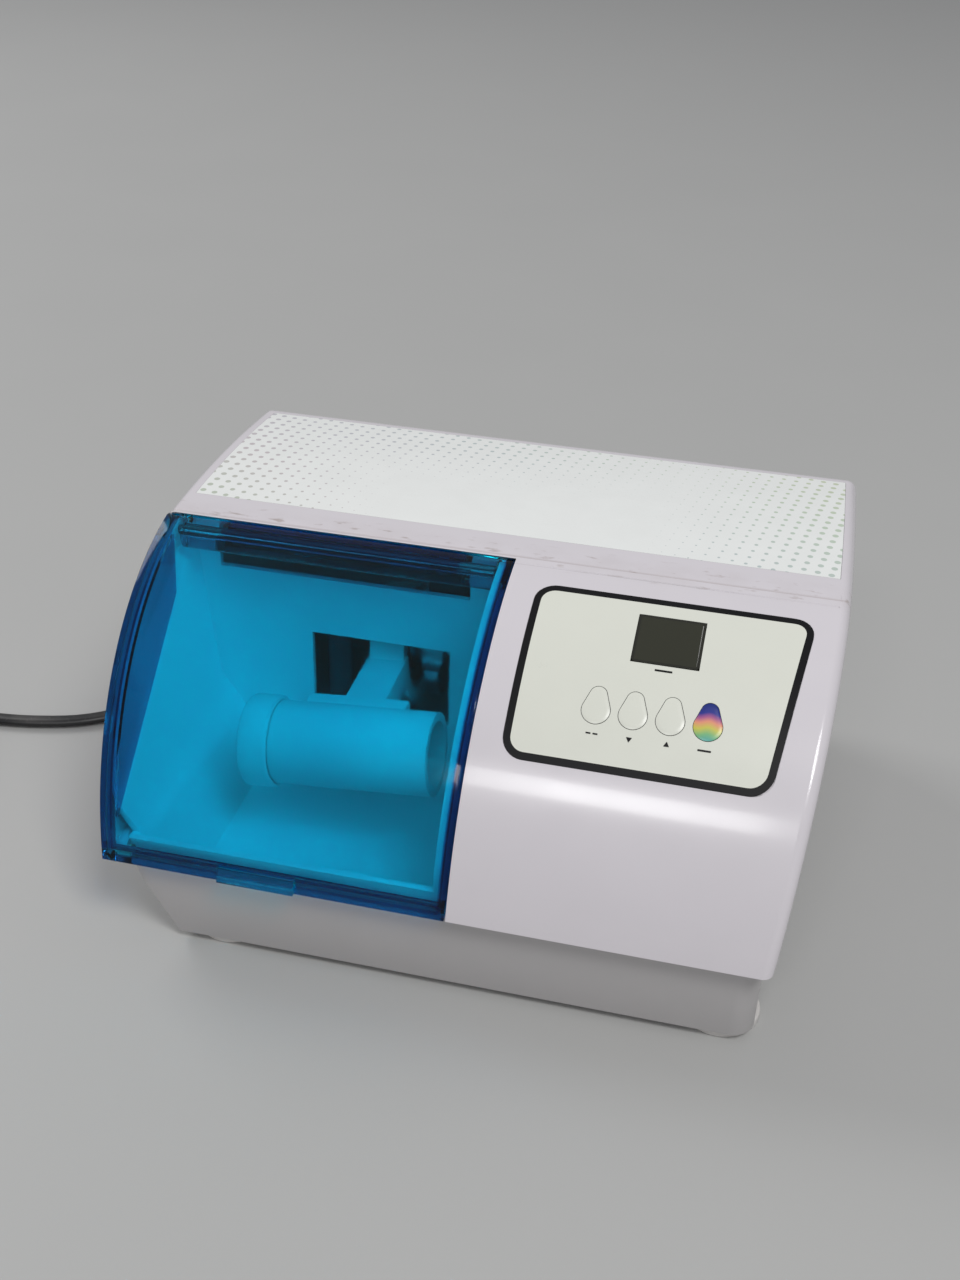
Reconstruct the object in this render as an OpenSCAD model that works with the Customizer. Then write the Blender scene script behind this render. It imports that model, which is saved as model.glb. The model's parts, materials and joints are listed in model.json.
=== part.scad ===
/* [Housing] */
// Width of the housing at its lower edge
body_w = 220; // [216:1:264]
// Depth of the housing from its front edge to its back wall
body_d = 198; // [190:1:240]
// Height of the top at its crown
top_z = 117.2; // [117:0.1:119]
// Height of the lower edge of the cover above the counter
lower_z = 33; // [31:1:36]
// Lean of each end wall, outwards towards the top, in degrees
flare = 6; // [2:0.5:7]
// Radius of the curved front face
face_r = 113; // [113:0.5:114]
// Height of the centre of the front curve
face_cz = 4; // [3.5:0.1:4.5]
// Radius of the nearly flat top
top_r = 600; // [500:10:900]
// Radius of the edge between top and back wall
back_r = 11; // [8:1:20]
// Thickness of the moulded walls
wall = 2.5; // [2:0.1:3]
// Width of the lip turned in along the lower edge
lip_w = 8; // [6:0.5:8.4]

/* [Base] */
// Height of the feet
foot_h = 3; // [2:0.5:5]
// Diameter of a foot
foot_d = 26; // [18:1:30]
// How far the base front stands behind the housing front
base_inset = 4.5; // [3:0.5:4.5]
// How far the left end of the base slants in
base_slant = 17.3; // [10:0.1:20]
// Gap between base and cover
base_gap = 0.3; // [0.2:0.1:0.6]

/* [Lid] */
// Place of the lid's right edge, from the middle
split_x = 7; // [0:1:12]
// Depth of the hinge line behind the front edge
hinge_y = 90; // [86:0.5:94]
// Radius of the round rim about the hinge line
hinge_r = 6; // [5.6:0.1:7]
// Diameter of the hinge pin
pin_d = 3; // [2.4:0.1:3.2]
// Depth of the turned-in side rims
rim_d = 6; // [5:0.5:6]
// Running gap round the lid
lid_gap = 0.5; // [0.4:0.1:0.8]
// Reach of the rear flange from the hinge line
flange_l = 16; // [14:0.5:16]
// Drop angle of the rear flange
flange_drop = 35; // [32:1:38]

/* [Panel] */
// Width of the control overlay
panel_w = 84; // [78:1:90]
// Height of the control overlay
panel_h = 63.5; // [61:0.5:68]
// How much wider the overlay is at its top, on the right
panel_lean = 7.5; // [0:0.5:9]
// Corner radius of the control overlay
panel_r = 7; // [4:0.5:9]
// Thickness of the overlay
panel_t = 0.5; // [0.4:0.1:0.8]
// Middle of the overlay's lower edge, from the middle of the housing
panel_x = 59; // [57:1:61]
// Angle of the overlay's middle on the face curve
panel_a = 59.3; // [58:0.1:61]
// Angle of the row of keys on the face curve
key_a = 53.5; // [52:0.5:55]
// Distance between two keys
key_pitch = 11.7; // [11:0.1:12.5]
// Place of the first key, from the middle of the housing
key_x = 44.3; // [42:0.1:46]
// Travel of a key
key_travel = 0.4; // [0.2:0.05:0.5]
// Width of the display window
lcd_w = 22; // [18:0.5:26]
// Height of the display window
lcd_h = 19; // [14:0.5:20]
// Angle of the display on the face curve
lcd_a = 67; // [66:0.5:68]

/* [Mixer] */
// Depth of the motor shaft behind the front edge
shaft_y = 126; // [126:0.5:130]
// Height of the motor shaft
shaft_z = 54; // [53:0.5:56]
// Diameter of the motor shaft
shaft_d = 8; // [6:0.5:9]
// Place of the wobble bearing, from the middle of the housing
ring_x = -42; // [-45:1:-40]
// Tilt of the wobble sleeve in degrees
wobble = 5; // [3:0.5:6]
// Distance from the wobble bearing to the vial axis
arm_l = 72; // [66:1:76]
// Outer diameter of the vial holder tube
tube_d = 29; // [26:0.5:31]
// Bore of the vial holder tube
tube_bore = 23; // [18:0.5:24]
// Length of the vial holder tube
tube_l = 62; // [56:1:66]
// Diameter of the holder cap
cap_d = 32; // [30:0.5:35]
// Outer radius of the motor
motor_r = 33; // [28:1:34]

/* [Cord] */
// Width of the flat mains cord
cord_w = 6; // [5:0.2:7]
// Thickness of the flat mains cord
cord_t = 3.6; // [3:0.2:4]
// Number of turns in the stored coil
coil_turns = 5; // [3:1:7]
// Radius of the outer turn
coil_r = 42; // [38:1:50]

/* [Hidden] */

$fn = 96;
eps = 0.01;
span = body_w;
half_w = body_w / 2;
tab_out = 3;
bezel_t = 1.5;
face_cy = sqrt(face_r * face_r - (lower_z - face_cz) * (lower_z - face_cz));
tab_r = face_r + tab_out - 0.5;
tab_z = lower_z + 1;
tab_reach = sqrt(tab_r * tab_r - (tab_z - face_cz) * (tab_z - face_cz)) - face_cy;
mid_y = (body_d + bezel_t - tab_reach) / 2;
top_cy = 130;
corner_y = body_d - back_r;
corner_z = top_z - top_r + sqrt(top_r * top_r - (corner_y - top_cy) * (corner_y - top_cy)) - back_r;
hinge_out = face_r - hinge_r;
hinge_z = face_cz + sqrt(hinge_out * hinge_out - (face_cy - hinge_y) * (face_cy - hinge_y));
hinge_clear = hinge_r + 0.6;
bay_inset = rim_d + lid_gap;
// Chamber tub: gap to the lid, floor and back wall
label_y = 106;
lcd_x = 63;
tub_inset = wall + lid_gap;
tub_front = base_inset + wall + 0.4;
tub_back = 98;
tub_floor = 16;
tub_corner = 22;
tub_right = split_x - 3.2;
lip_z = 38;
window_x = [ring_x - 27, ring_x + 25];
window_z = [shaft_z - 16, shaft_z + 16];
slot_x = [-103, -10];
slot_z = [92.5, 107];
flange_x = [-98, -12];
// Base
base_right = half_w - 3;
base_left_top = -(half_w - 5.7);
base_back = body_d - 4.5;
tray_top = lower_z - base_gap;
tray_floor = foot_h + wall;
corner_plan = 8;
foot_places = [[-72, 18.5], [95.5, 18.5], [-72, base_back - 13.5], [95.5, base_back - 13.5]];
post_places = [[96, 40, 0], [76, base_back - 17.5, 1], [-78, base_back - 37.5, 0]];
tub_post = [-70, 40, 0];
screw_places = concat(post_places, [tub_post]);
post_d = 10;
screw_d = 3;
fit = 0.04;
// Overlay
recess = 0.15;
key_names = ["mode", "down", "up", "start"];
key_low_r = 4.9;
key_top_r = 3.2;
key_len = 4.4;
key_gap = 0.2;
pocket = 1.3;
stem_d = 3;
board_drop = 12;
board_t = 1.6;
stem_l = 7.9;
tact_h = board_drop - stem_l - key_travel - 0.15;
// Motor along the shaft
core_x = [28, 68];
front_bell_x = [14, 28];
rear_bell_x = [68, 95];
block_x = [-18, -8];
bearing_od = 22;
bearing_w = 7;
run_gap = 0.05;
ring_bore = 15;
ring_od = 20;
race_id = 29.5;
race_od = 35;
race_w = 11;
ball_d = 4;
ball_pitch = 12.75;
eye_od = 45;
eye_w = 13;
mount_places = [[21, 104], [21, 148], [88, 104], [88, 148]];
rubber_h = 6;
bracket_t = 2;
bracket_z = tray_floor + rubber_h;
spring_d = 9;
post_h = 7;
seat_drop = 27;
// Tube along its own axis, from the ring centre
tube_u = [-30, tube_l - 30];
neck_l = 6.3;
neck_d = tube_d - 2;
cap_u = [-34.5, -24];
liner_u = [-32.4, -30.2];
// Switch
rocker_x = 60;
rocker_z = 62;
rocker_r = 8.6;
rocker_w = 10.8;
rocker_tip = 7;
// Cord
exit_x = -62;
exit_z = 20;
relief_l = 30;
cord_z = 2.4;
coil_x = -245;
coil_y = 102 - coil_r;
coil_pitch = cord_w + 0.6;
layer_step = cord_t + 0.7;
loop_rings = 24;
cord_route = [
    [-62, 223.5, 20], [-62, 234, 20], [-62, 244, 19], [-63, 255, 16], [-66, 266, 11], [-72, 276, 6],
    [-81, 283, 3.2], [-93, 287, 2.4], [-108, 287, 2.4], [-122, 282, 2.4], [-133, 272, 2.4],
    [-140, 259, 2.4], [-144, 245, 2.4], [-146, 230, 2.4], [-146, 215, 2.4], [-146, 200, 2.4],
    [-146, 185, 2.4], [-146, 170, 2.4], [-147, 155, 2.4], [-150, 141, 2.4], [-156, 128, 2.4],
    [-165, 117.5, 2.4], [-177, 110, 2.4], [-191, 105.5, 2.4], [-204, 103, 2.4], [-217, 102, 2.4],
    [-228, 102, 2.4], [-239, 102, 2.4]
];
cover_white = [0.88, 0.86, 0.88];
lid_blue = [0.0, 0.45, 0.75, 0.75];
steel = [0.72, 0.73, 0.75];
copper = [0.75, 0.42, 0.2];
board_green = [0.1, 0.35, 0.2];
black = [0.08, 0.08, 0.08];

// Moves a piece drawn from the front edge back, so that the origin is under the middle
module place() {
    translate([0, -mid_y, 0]) children();
}

// Extrudes an outline of depth and height along the width
module along_x(x0, x1) {
    translate([x0, 0, 0]) rotate([90, 0, 90]) linear_extrude(x1 - x0) children();
}

// Extrudes an outline of width and height along the depth
module along_y(y0, y1) {
    translate([0, y1, 0]) rotate([90, 0, 0]) linear_extrude(y1 - y0) children();
}

// A rod along the width
module rod_x(d, x0, x1, y = shaft_y, z = shaft_z) {
    translate([x0, y, z]) rotate([0, 90, 0]) cylinder(d = d, h = x1 - x0);
}

// A rod along the depth
module rod_y(d, y0, y1, x, z) {
    translate([x, y0, z]) rotate([-90, 0, 0]) cylinder(d = d, h = y1 - y0);
}

// A tube along the width
module ring_x_at(od, id, x0, x1) {
    difference() {
        rod_x(od, x0, x1);
        rod_x(id, x0 - 1, x1 + 1);
    }
}

// A block between two corners
module block(lo, hi) {
    translate(lo) cube(hi - lo);
}

// A rectangle with round corners, about its middle
module round_rect(w, h, r) {
    square([w - 2 * r, h], center = true);
    square([w, h - 2 * r], center = true);
    for (i = [-1, 1], j = [-1, 1])
        translate([i * (w / 2 - r), j * (h / 2 - r)]) circle(r = r);
}

// Half width of the housing at a height
function end_x(z) = half_w + (z - lower_z) * tan(flare);

// The space between the two leaning ends, drawn in by an amount
module between_ends(inset) {
    along_y(-30, body_d + 30)
        polygon([[-end_x(-20) + inset, -20], [end_x(-20) - inset, -20],
                 [end_x(160) - inset, 160], [-end_x(160) + inset, 160]]);
}

// Side outline of the housing, drawn in by an amount
module body_outline(inset, floor_z = lower_z) {
    intersection() {
        union() {
            translate([face_cy, face_cz]) circle(r = face_r - inset, $fn = 360);
            translate([face_cy, -20]) square([body_d, 200]);
        }
        translate([top_cy, top_z - top_r]) circle(r = top_r - inset, $fn = 1440);
        union() {
            translate([-20, -20]) square([corner_y + 20, 220]);
            translate([-20, -20]) square([body_d - inset + 20, corner_z + 20]);
            translate([corner_y, corner_z]) circle(r = max(back_r - inset, 0.5));
        }
        translate([-20, floor_z]) square([body_d + 60, 220]);
    }
}

// A disc about the hinge line, in the side outline
module hinge_disc(r) {
    translate([hinge_y, hinge_z]) circle(r = r);
}

// Puts a piece on the face curve: its Z points out of the face, its Y up the face
module on_face(x, a) {
    translate([x, face_cy, face_cz]) rotate([90 - a, 0, 0]) translate([0, 0, face_r]) children();
}

// A curved sheet of the face between two depths under its surface
module face_sheet(depth, over = 0) {
    along_x(0, half_w) difference() {
        translate([face_cy, face_cz]) circle(r = face_r + over, $fn = 360);
        translate([face_cy, face_cz]) circle(r = face_r - depth, $fn = 360);
    }
}

// Points of a round corner between three points
function corner_points(a, b, c, r) =
    let (u = (a - b) / norm(a - b), v = (c - b) / norm(c - b), h = acos(u * v) / 2,
         m = b + (u + v) / norm(u + v) * r / sin(h),
         s = b + u * r / tan(h) - m, e = b + v * r / tan(h) - m,
         from = atan2(s[1], s[0]), turn = ((atan2(e[1], e[0]) - from + 540) % 360) - 180)
        [for (i = [0:8]) m + r * [cos(from + turn * i / 8), sin(from + turn * i / 8)]];

// The overlay's outline, with its right edge leaning as the housing's end does
function panel_points(grow) =
    let (w = panel_w / 2 + grow, h = panel_h / 2 + grow,
         p = [[-w, -h], [w, -h], [w + panel_lean, h], [-w, h]])
        [for (i = [0:3]) each corner_points(p[(i + 3) % 4], p[i], p[(i + 1) % 4], panel_r + grow)];

// The overlay's outline through the face
module panel_prism(grow) {
    on_face(panel_x, panel_a) translate([0, 0, -14]) linear_extrude(24)
        polygon(panel_points(grow));
}

// The display window through the face
module lcd_prism(grow) {
    on_face(lcd_x, lcd_a) translate([0, 0, -10]) linear_extrude(20)
        square([lcd_w + 2 * grow, lcd_h + 2 * grow], center = true);
}

// The egg-shaped outline of a key, narrow end up
module key_outline(grow) {
    low = key_low_r + grow;
    top = key_top_r + grow;
    lean = asin((key_low_r - key_top_r) / key_len);
    polygon(concat(
        [for (i = [0:18]) let (a = 180 - lean + i * (180 + 2 * lean) / 18) [low * cos(a), low * sin(a) - 1]],
        [for (i = [0:12]) let (a = lean + i * (180 - 2 * lean) / 12)
            [top * cos(a), top * sin(a) + key_len - 1]]));
}

module key_prism(i, grow, depth, over) {
    on_face(key_x + i * key_pitch, key_a) translate([0, 0, -depth]) linear_extrude(depth + over)
        key_outline(grow);
}

module upper_cover() color(cover_white) place() difference() {
    union() {
        difference() {
            intersection() {
                along_x(-span, span) body_outline(0);
                between_ends(0);
            }
            intersection() {
                along_x(-span, span) body_outline(wall, lower_z + wall);
                between_ends(wall);
            }
            block([-half_w + lip_w, lip_w, lower_z - 1],
                  [half_w - lip_w, body_d - lip_w, lower_z + wall + 1]);
            lid_bay();
        }
        split_return();
        for (p = post_places)
            cover_post(p);
        board_pillars();
    }
    intersection() {
        face_sheet(panel_t + 0.04, 2);
        panel_prism(recess);
    }
    lcd_prism(0.5);
    for (i = [0:3]) {
        key_prism(i, key_gap, pocket, 2);
        on_face(key_x + i * key_pitch, key_a) translate([0, 0, -8]) cylinder(d = stem_d + 1, h = 10);
    }
    label_prism(recess);
    for (p = post_places)
        translate([p[0], p[1], tray_floor]) cylinder(d = screw_d, h = 14);
    for (i = [0:8])
        block([-86 + i * 7, body_d - wall - 1, 55], [-83 + i * 7, body_d + 1, 85]);
    block([rocker_x - 6.5, body_d - wall - 1, rocker_z - 9.7],
          [rocker_x + 6.5, body_d + 1, rocker_z + 9.7]);
}

// The part of the cover that the lid takes the place of
module lid_bay() {
    along_x(-span, split_x) difference() {
        translate([-20, 0]) square([hinge_y + 20, 160]);
        body_outline(bay_inset, -20);
    }
    along_x(-span, split_x) hinge_disc(hinge_clear);
    block([-half_w + lip_w - 2, -5, lower_z - 1], [split_x, lip_w + 2, lower_z + wall + 1]);
}

// The cover's edge turned in beside the lid
module split_return() {
    along_x(split_x, split_x + wall) intersection() {
        difference() {
            body_outline(0);
            body_outline(14, 0);
        }
        translate([-1, 0]) square([102, 160]);
    }
}

// A screw post that hangs from the nearest cover wall
module cover_post(p) {
    side = p[0] > 0 ? 1 : -1;
    low = tray_floor + base_gap;
    high = 44;
    rib_z = lower_z + wall;
    translate([p[0], p[1], low]) cylinder(d = post_d, h = high - low);
    if (p[2] == 1)
        block([p[0] - post_d / 2, p[1], rib_z], [p[0] + post_d / 2, body_d - wall / 2, high]);
    else
        translate([p[0], p[1] - post_d / 2, rib_z]) mirror([side > 0 ? 0 : 1, 0, 0])
            cube([half_w - wall / 2 - side * p[0], post_d, high - rib_z]);
}

// Pillars that carry the display board under the face
module board_pillars() {
    on_face(panel_x, key_a)
        for (x = [-34, 34], y = [-14, 19])
            translate([x, y, -board_drop]) cylinder(d = 5, h = board_drop - 2.8);
}

module label_prism(grow) {
    intersection() {
        along_x(-span, span) difference() {
            translate([top_cy, top_z - top_r]) circle(r = top_r + 2, $fn = 1440);
            translate([top_cy, top_z - top_r]) circle(r = top_r - 0.4 - grow / 3, $fn = 1440);
        }
        between_ends(4.5 - grow);
        block([-span, label_y - grow, 60], [span, corner_y + grow, 160]);
    }
}

module top_label() color([0.94, 0.95, 0.94]) place() intersection() {
    label_prism(0);
    along_x(-span, span) translate([top_cy, top_z - top_r]) circle(r = top_r, $fn = 1440);
}

// The base's front view, drawn in by an amount
module tray_outline(inset, low, high) {
    slope = base_slant / (tray_top - foot_h);
    left_low = base_left_top + (tray_top - low) * slope;
    left_high = base_left_top + (tray_top - high) * slope;
    polygon([[left_low + inset * 1.16, low], [base_right - inset, low],
             [base_right - inset, high], [left_high + inset * 1.16, high]]);
}

module base_tray() color(cover_white) place() difference() {
    union() {
        difference() {
            intersection() {
                along_y(base_inset, base_back) tray_outline(0, foot_h, tray_top);
                translate([(base_right + base_left_top) / 2, (base_inset + base_back) / 2, 0])
                    linear_extrude(60)
                        round_rect(base_right - base_left_top, base_back - base_inset, corner_plan);
            }
            along_y(base_inset + wall, base_back - wall) tray_outline(wall, tray_floor, tray_top + 5);
        }
        for (p = foot_places)
            translate([p[0], p[1], tray_floor - 1]) cylinder(d = 8, h = 6);
    }
    for (p = foot_places)
        translate([p[0], p[1], 0]) cylinder(d = screw_d, h = 20);
    for (p = screw_places) {
        translate([p[0], p[1], 0]) cylinder(d = screw_d + 0.4, h = 20);
        translate([p[0], p[1], 0]) cylinder(d = 6.4, h = foot_h + 1.2);
    }
    rod_y(12, base_back - wall - 1, base_back + 1, exit_x, exit_z);
}

module feet() color([0.6, 0.6, 0.6]) place()
    for (p = foot_places)
        translate([p[0], p[1], 0]) difference() {
            cylinder(d = foot_d, h = foot_h);
            translate([0, 0, -1]) cylinder(d = screw_d + 0.4, h = foot_h + 2);
            translate([0, 0, -1]) cylinder(d = 7, h = 2.4);
        }

// A pan-head screw that points up from the middle of its head's top face
module screw_up(l) {
    translate([0, 0, -1.2]) cylinder(d = 5.6, h = 1.2);
    cylinder(d = screw_d - 0.1, h = l);
}

module foot_screws() color(steel) place()
    for (p = foot_places)
        translate([p[0], p[1], 1.4]) screw_up(8);

module housing_screws() color(steel) place()
    for (p = screw_places)
        translate([p[0], p[1], foot_h + 1.2]) screw_up(p == tub_post ? 8 : 12);

// Front view of the tub, drawn in by an amount
module tub_front_view(inset) {
    low = tub_floor - wall + inset;
    knee = 46;
    polygon([[-88 + inset * 1.16, low], [tub_right - inset, low], [tub_right - inset, 160],
             [-end_x(160) + tub_inset + inset, 160], [-end_x(knee) + tub_inset + inset, knee]]);
}

// Side view of the tub's hollow, with its round lower corners, grown by an amount
module tub_side_view(grow) {
    y0 = tub_front + wall - grow;
    y1 = tub_back + grow;
    z0 = tub_floor - grow;
    r = tub_corner + grow;
    translate([y0, z0 + r]) square([y1 - y0, 160]);
    translate([y0 + r, z0]) square([y1 - y0 - 2 * r, r + 1]);
    for (y = [y0 + r, y1 - r])
        translate([y, z0 + r]) circle(r = r);
}

module mixing_chamber() color(cover_white) place() difference() {
    union() {
        intersection() {
            along_x(-span, span) intersection() {
                tub_side_view(wall);
                body_outline(tub_inset, 0);
            }
            along_y(0, body_d) tub_front_view(0);
        }
        along_x(tub_right - 0.5, split_x - 0.2) intersection() {
            difference() {
                body_outline(bay_inset + 0.1, lower_z + wall);
                body_outline(bay_inset + wall, lower_z + wall);
            }
            translate([tub_front, 0]) square([hinge_y - tub_front - 8, 160]);
        }
        block([-30, tub_back + 1, 84], [-10, tub_back + 15, 86.5]);
        translate([tub_post[0], tub_post[1], tray_floor + base_gap])
            cylinder(d = post_d, h = tub_floor - tray_floor - 2);
    }
    translate([tub_post[0], tub_post[1], 0]) cylinder(d = screw_d, h = tub_floor - wall);
    intersection() {
        along_x(-span, span) tub_side_view(0);
        along_y(0, body_d) tub_front_view(wall);
    }
    block([-end_x(80), 0, lip_z], [tub_right - wall, tub_front + wall + 1, 100]);
    block([window_x[0], tub_back - 2, window_z[0]], [window_x[1], tub_back + wall + 1, window_z[1]]);
    block([slot_x[0], tub_back - 2, slot_z[0]], [slot_x[1], tub_back + wall + 1, slot_z[1]]);
    along_x(-span, split_x) difference() {
        intersection() {
            hinge_disc(hinge_clear);
            translate([hinge_y, hinge_z - 1]) square([20, 20]);
        }
        hinge_disc(pin_d / 2 + 1.7);
    }
    rod_x(pin_d + fit, -span, split_x, hinge_y, hinge_z);
}

module hinge_pin() color(steel) place()
    rod_x(pin_d, -end_x(hinge_z) + tub_inset + 0.4, tub_right, hinge_y, hinge_z);

module lid() color(lid_blue) place() difference() {
    union() {
        intersection() {
            union() {
                along_x(-span, split_x - lid_gap) intersection() {
                    difference() {
                        body_outline(0);
                        body_outline(wall);
                    }
                    translate([-20, 0]) square([hinge_y + 20, 160]);
                }
                difference() {
                    along_x(-span, split_x - lid_gap) rim_outline();
                    intersection() {
                        along_x(-span, split_x - lid_gap - wall) translate([-20, 0]) square([160, 160]);
                        between_ends(wall);
                    }
                }
                along_x(-span, split_x - lid_gap) intersection() {
                    body_outline(0);
                    translate([-20, lower_z]) square([20 + tub_front - 2.4 * lid_gap, wall]);
                }
            }
            between_ends(0);
        }
        lid_barrel();
        lid_flange();
        finger_tab();
    }
    rod_x(pin_d + 2 * run_gap, -end_x(hinge_z) + tub_inset, tub_right, hinge_y, hinge_z);
    magnet_place() cylinder(d = 5.1, h = 10, center = true);
}

// The deep side rim of the lid with its round end about the hinge line
module rim_outline() {
    intersection() {
        difference() {
            body_outline(0);
            body_outline(rim_d);
        }
        translate([-20, 0]) square([hinge_y + 20, 160]);
    }
    intersection() {
        hinge_disc(hinge_r);
        body_outline(0);
    }
}

module lid_barrel() {
    along_x(-end_x(hinge_z) + tub_inset + wall + 1, tub_right - wall - 0.5) intersection() {
        hinge_disc(hinge_r);
        body_outline(0);
    }
}

module lid_flange() {
    translate([flange_x[0], hinge_y, hinge_z]) rotate([-flange_drop, 0, 0])
        translate([0, hinge_r - 2, -1.1]) cube([flange_x[1] - flange_x[0], flange_l - hinge_r + 2, 2.2]);
}

module magnet_place() {
    translate([-20, hinge_y, hinge_z]) rotate([-flange_drop, 0, 0])
        translate([0, flange_l - 3.5, 0]) children();
}

module finger_tab() {
    along_x(-69, -43) intersection() {
        translate([-tab_out, tab_z]) square([tab_out + 3, 5]);
        translate([face_cy, face_cz]) circle(r = tab_r, $fn = 360);
    }
}

module lid_magnet() color(steel) place()
    magnet_place() cylinder(d = 5, h = 2.2, center = true);

module reed_switch() color(black) place()
    block([-27, tub_back + 8.5, 86.5], [-13, tub_back + 13, 101]);

module control_overlay() color([0.88, 0.88, 0.85]) place() difference() {
    intersection() {
        face_sheet(panel_t);
        panel_prism(0);
    }
    lcd_prism(0);
    for (i = [0:3])
        key_prism(i, key_gap, 3, 3);
}

module key_node(i) {
    place() {
        intersection() {
            key_prism(i, 0, 3, 3);
            face_sheet(panel_t, 0.1);
        }
        on_face(key_x + i * key_pitch, key_a) translate([0, 0, -stem_l])
            cylinder(d = stem_d, h = stem_l - 0.3);
    }
}

module lcd_module() color([0.2, 0.2, 0.18]) place() {
    on_face(lcd_x, lcd_a) {
        translate([-lcd_w / 2 + 0.2, -lcd_h / 2 + 0.2, -4.2]) cube([lcd_w - 0.4, lcd_h - 0.4, 3.2]);
        translate([-lcd_w / 2 - 3, -lcd_h / 2 - 3, -7.4]) cube([lcd_w + 6, lcd_h + 6, 3.8]);
    }
    on_face(lcd_x, key_a)
        translate([-11, 17, -board_drop]) cube([22, 2.5, board_drop - 9]);
}

module display_board() color(board_green) place() {
    on_face(panel_x, key_a) {
        translate([-38, -18, -board_drop - board_t]) cube([76, 40, board_t]);
        translate([-8, -12, -board_drop - board_t - 4]) cube([16, 5, 4.1]);
    }
}

module tact_switches() color(black) place()
    for (i = [0:3])
        on_face(key_x + i * key_pitch, key_a) translate([-3, -3, -board_drop])
            cube([6, 6, tact_h]);

// A point under the display board, in depth and height
function under_board(up) =
    let (r = face_r - board_drop - board_t - 4)
        [face_cy - r * cos(key_a) + up * sin(key_a), face_cz + r * sin(key_a) + up * cos(key_a)];

module ribbon_cable() color([0.6, 0.6, 0.62]) place()
    along_x(panel_x - 7, panel_x + 7)
        polygon([under_board(-10.1), under_board(-8.9), [31.2, 18.6], [30, 18.6]]);

module main_board() color(board_green) place() {
    block([14, 12, 12], [88, 82, 12 + board_t]);
    block([panel_x - 8, 27, 12 + board_t - eps], [panel_x + 8, 34, 18.6]);
    block([20, 16, 12 + board_t - eps], [34, 24, 24]);
    block([70, 60, 12 + board_t - eps], [74, 78, 32]);
}

module standoffs() color(steel) place()
    for (x = [18, 84], y = [16, 78])
        translate([x, y, tray_floor]) cylinder(d = 5, h = 12 - tray_floor);

module transformer() color([0.25, 0.25, 0.27]) place() {
    block([22, 42, 12 + board_t], [58, 74, 40]);
    block([28, 38, 17], [52, 42 + eps, 36]);
}

module capacitors() color([0.15, 0.2, 0.4]) place()
    for (p = [[78, 22, 10, 18], [78, 38, 12, 22], [40, 20, 8, 14]])
        translate([p[0], p[1], 12 + board_t]) cylinder(d = p[2], h = p[3]);

module fuse() color([0.8, 0.8, 0.75]) place() {
    rod_y(5, 54, 74, 65, 18.5);
    for (y = [54.5, 69.5])
        block([62, y, 12 + board_t], [68, y + 4, 16.6]);
}

module motor_bracket() color(steel) place() difference() {
    block([12, 98, bracket_z], [94, 154, bracket_z + bracket_t]);
    for (p = mount_places)
        translate([p[0], p[1], 0]) cylinder(d = 4, h = 40);
}

module rubber_mounts() color(black) place()
    for (p = mount_places)
        translate([p[0], p[1], tray_floor]) {
            cylinder(d = 11, h = rubber_h);
            cylinder(d = 3.9, h = rubber_h + bracket_t + 1);
        }

// One end bell: a cup with a foot and a bearing seat in its end
module end_bell(x0, x1, hollow_x, seat_x) {
    difference() {
        union() {
            rod_x(2 * motor_r, x0, x1);
            block([x0, shaft_y - 18, bracket_z + bracket_t], [x1, shaft_y + 18, shaft_z - motor_r + 6]);
        }
        difference() {
            rod_x(2 * motor_r - 8, hollow_x[0], hollow_x[1]);
            rod_x(bearing_od + 6, seat_x[0], seat_x[1]);
        }
        rod_x(bearing_od + fit, x0 - 1, x1 + 1);
    }
}

module motor_end_bells() color(steel) place() {
    end_bell(front_bell_x[0], front_bell_x[1],
             [front_bell_x[0] + 3, front_bell_x[1] + 1], [front_bell_x[0] + 1, front_bell_x[0] + 8]);
    end_bell(rear_bell_x[0], rear_bell_x[1],
             [rear_bell_x[0] - 1, rear_bell_x[1] - 3], [rear_bell_x[1] - 8, rear_bell_x[1] - 1]);
}

module stator_core() color([0.45, 0.45, 0.47]) place()
    ring_x_at(2 * motor_r, 54, core_x[0], core_x[1]);

module stator_windings() color(copper) place()
    ring_x_at(53.8, 39, core_x[0] - 4, core_x[1] + 4);

module carbon_brushes() color(black) place()
    for (s = [-1, 1])
        block([78, shaft_y + (s < 0 ? 4.25 - motor_r : 9.3), shaft_z - 3],
              [82, shaft_y + (s < 0 ? -9.3 : motor_r - 4.25), shaft_z + 3]);

module bearing_at(x0) {
    ring_x_at(bearing_od, shaft_d + 2 * run_gap, x0, x0 + bearing_w);
}

module shaft_bearings() color(steel) place() {
    bearing_at(front_bell_x[0] + 0.5);
    bearing_at(rear_bell_x[1] - 7.5);
    bearing_at(block_x[0] + 1.5);
}

module bearing_block() color([0.5, 0.5, 0.52]) place() difference() {
    union() {
        block([block_x[0], shaft_y - 20, tray_floor], [block_x[1], shaft_y + 20, shaft_z]);
        rod_x(40, block_x[0], block_x[1]);
    }
    rod_x(bearing_od + fit, block_x[0] - 1, block_x[1] + 1);
}

module spring_post() color(steel) place()
    translate([ring_x, shaft_y, tray_floor]) cylinder(d = spring_d + 2, h = post_h);

// A closed-coil spring on the arm's own upright line, so it only twists as the arm swings
module restraint_spring() color(steel) place() {
    low = tray_floor + post_h + 0.3;
    turns = 7;
    step = (shaft_z - seat_drop - low) / turns;
    translate([ring_x, shaft_y, low]) cylinder(d = spring_d - 2.4, h = turns * step);
    for (i = [0:turns - 1])
        translate([ring_x, shaft_y, low + i * step]) cylinder(d = spring_d, h = step * 0.62);
}

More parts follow.
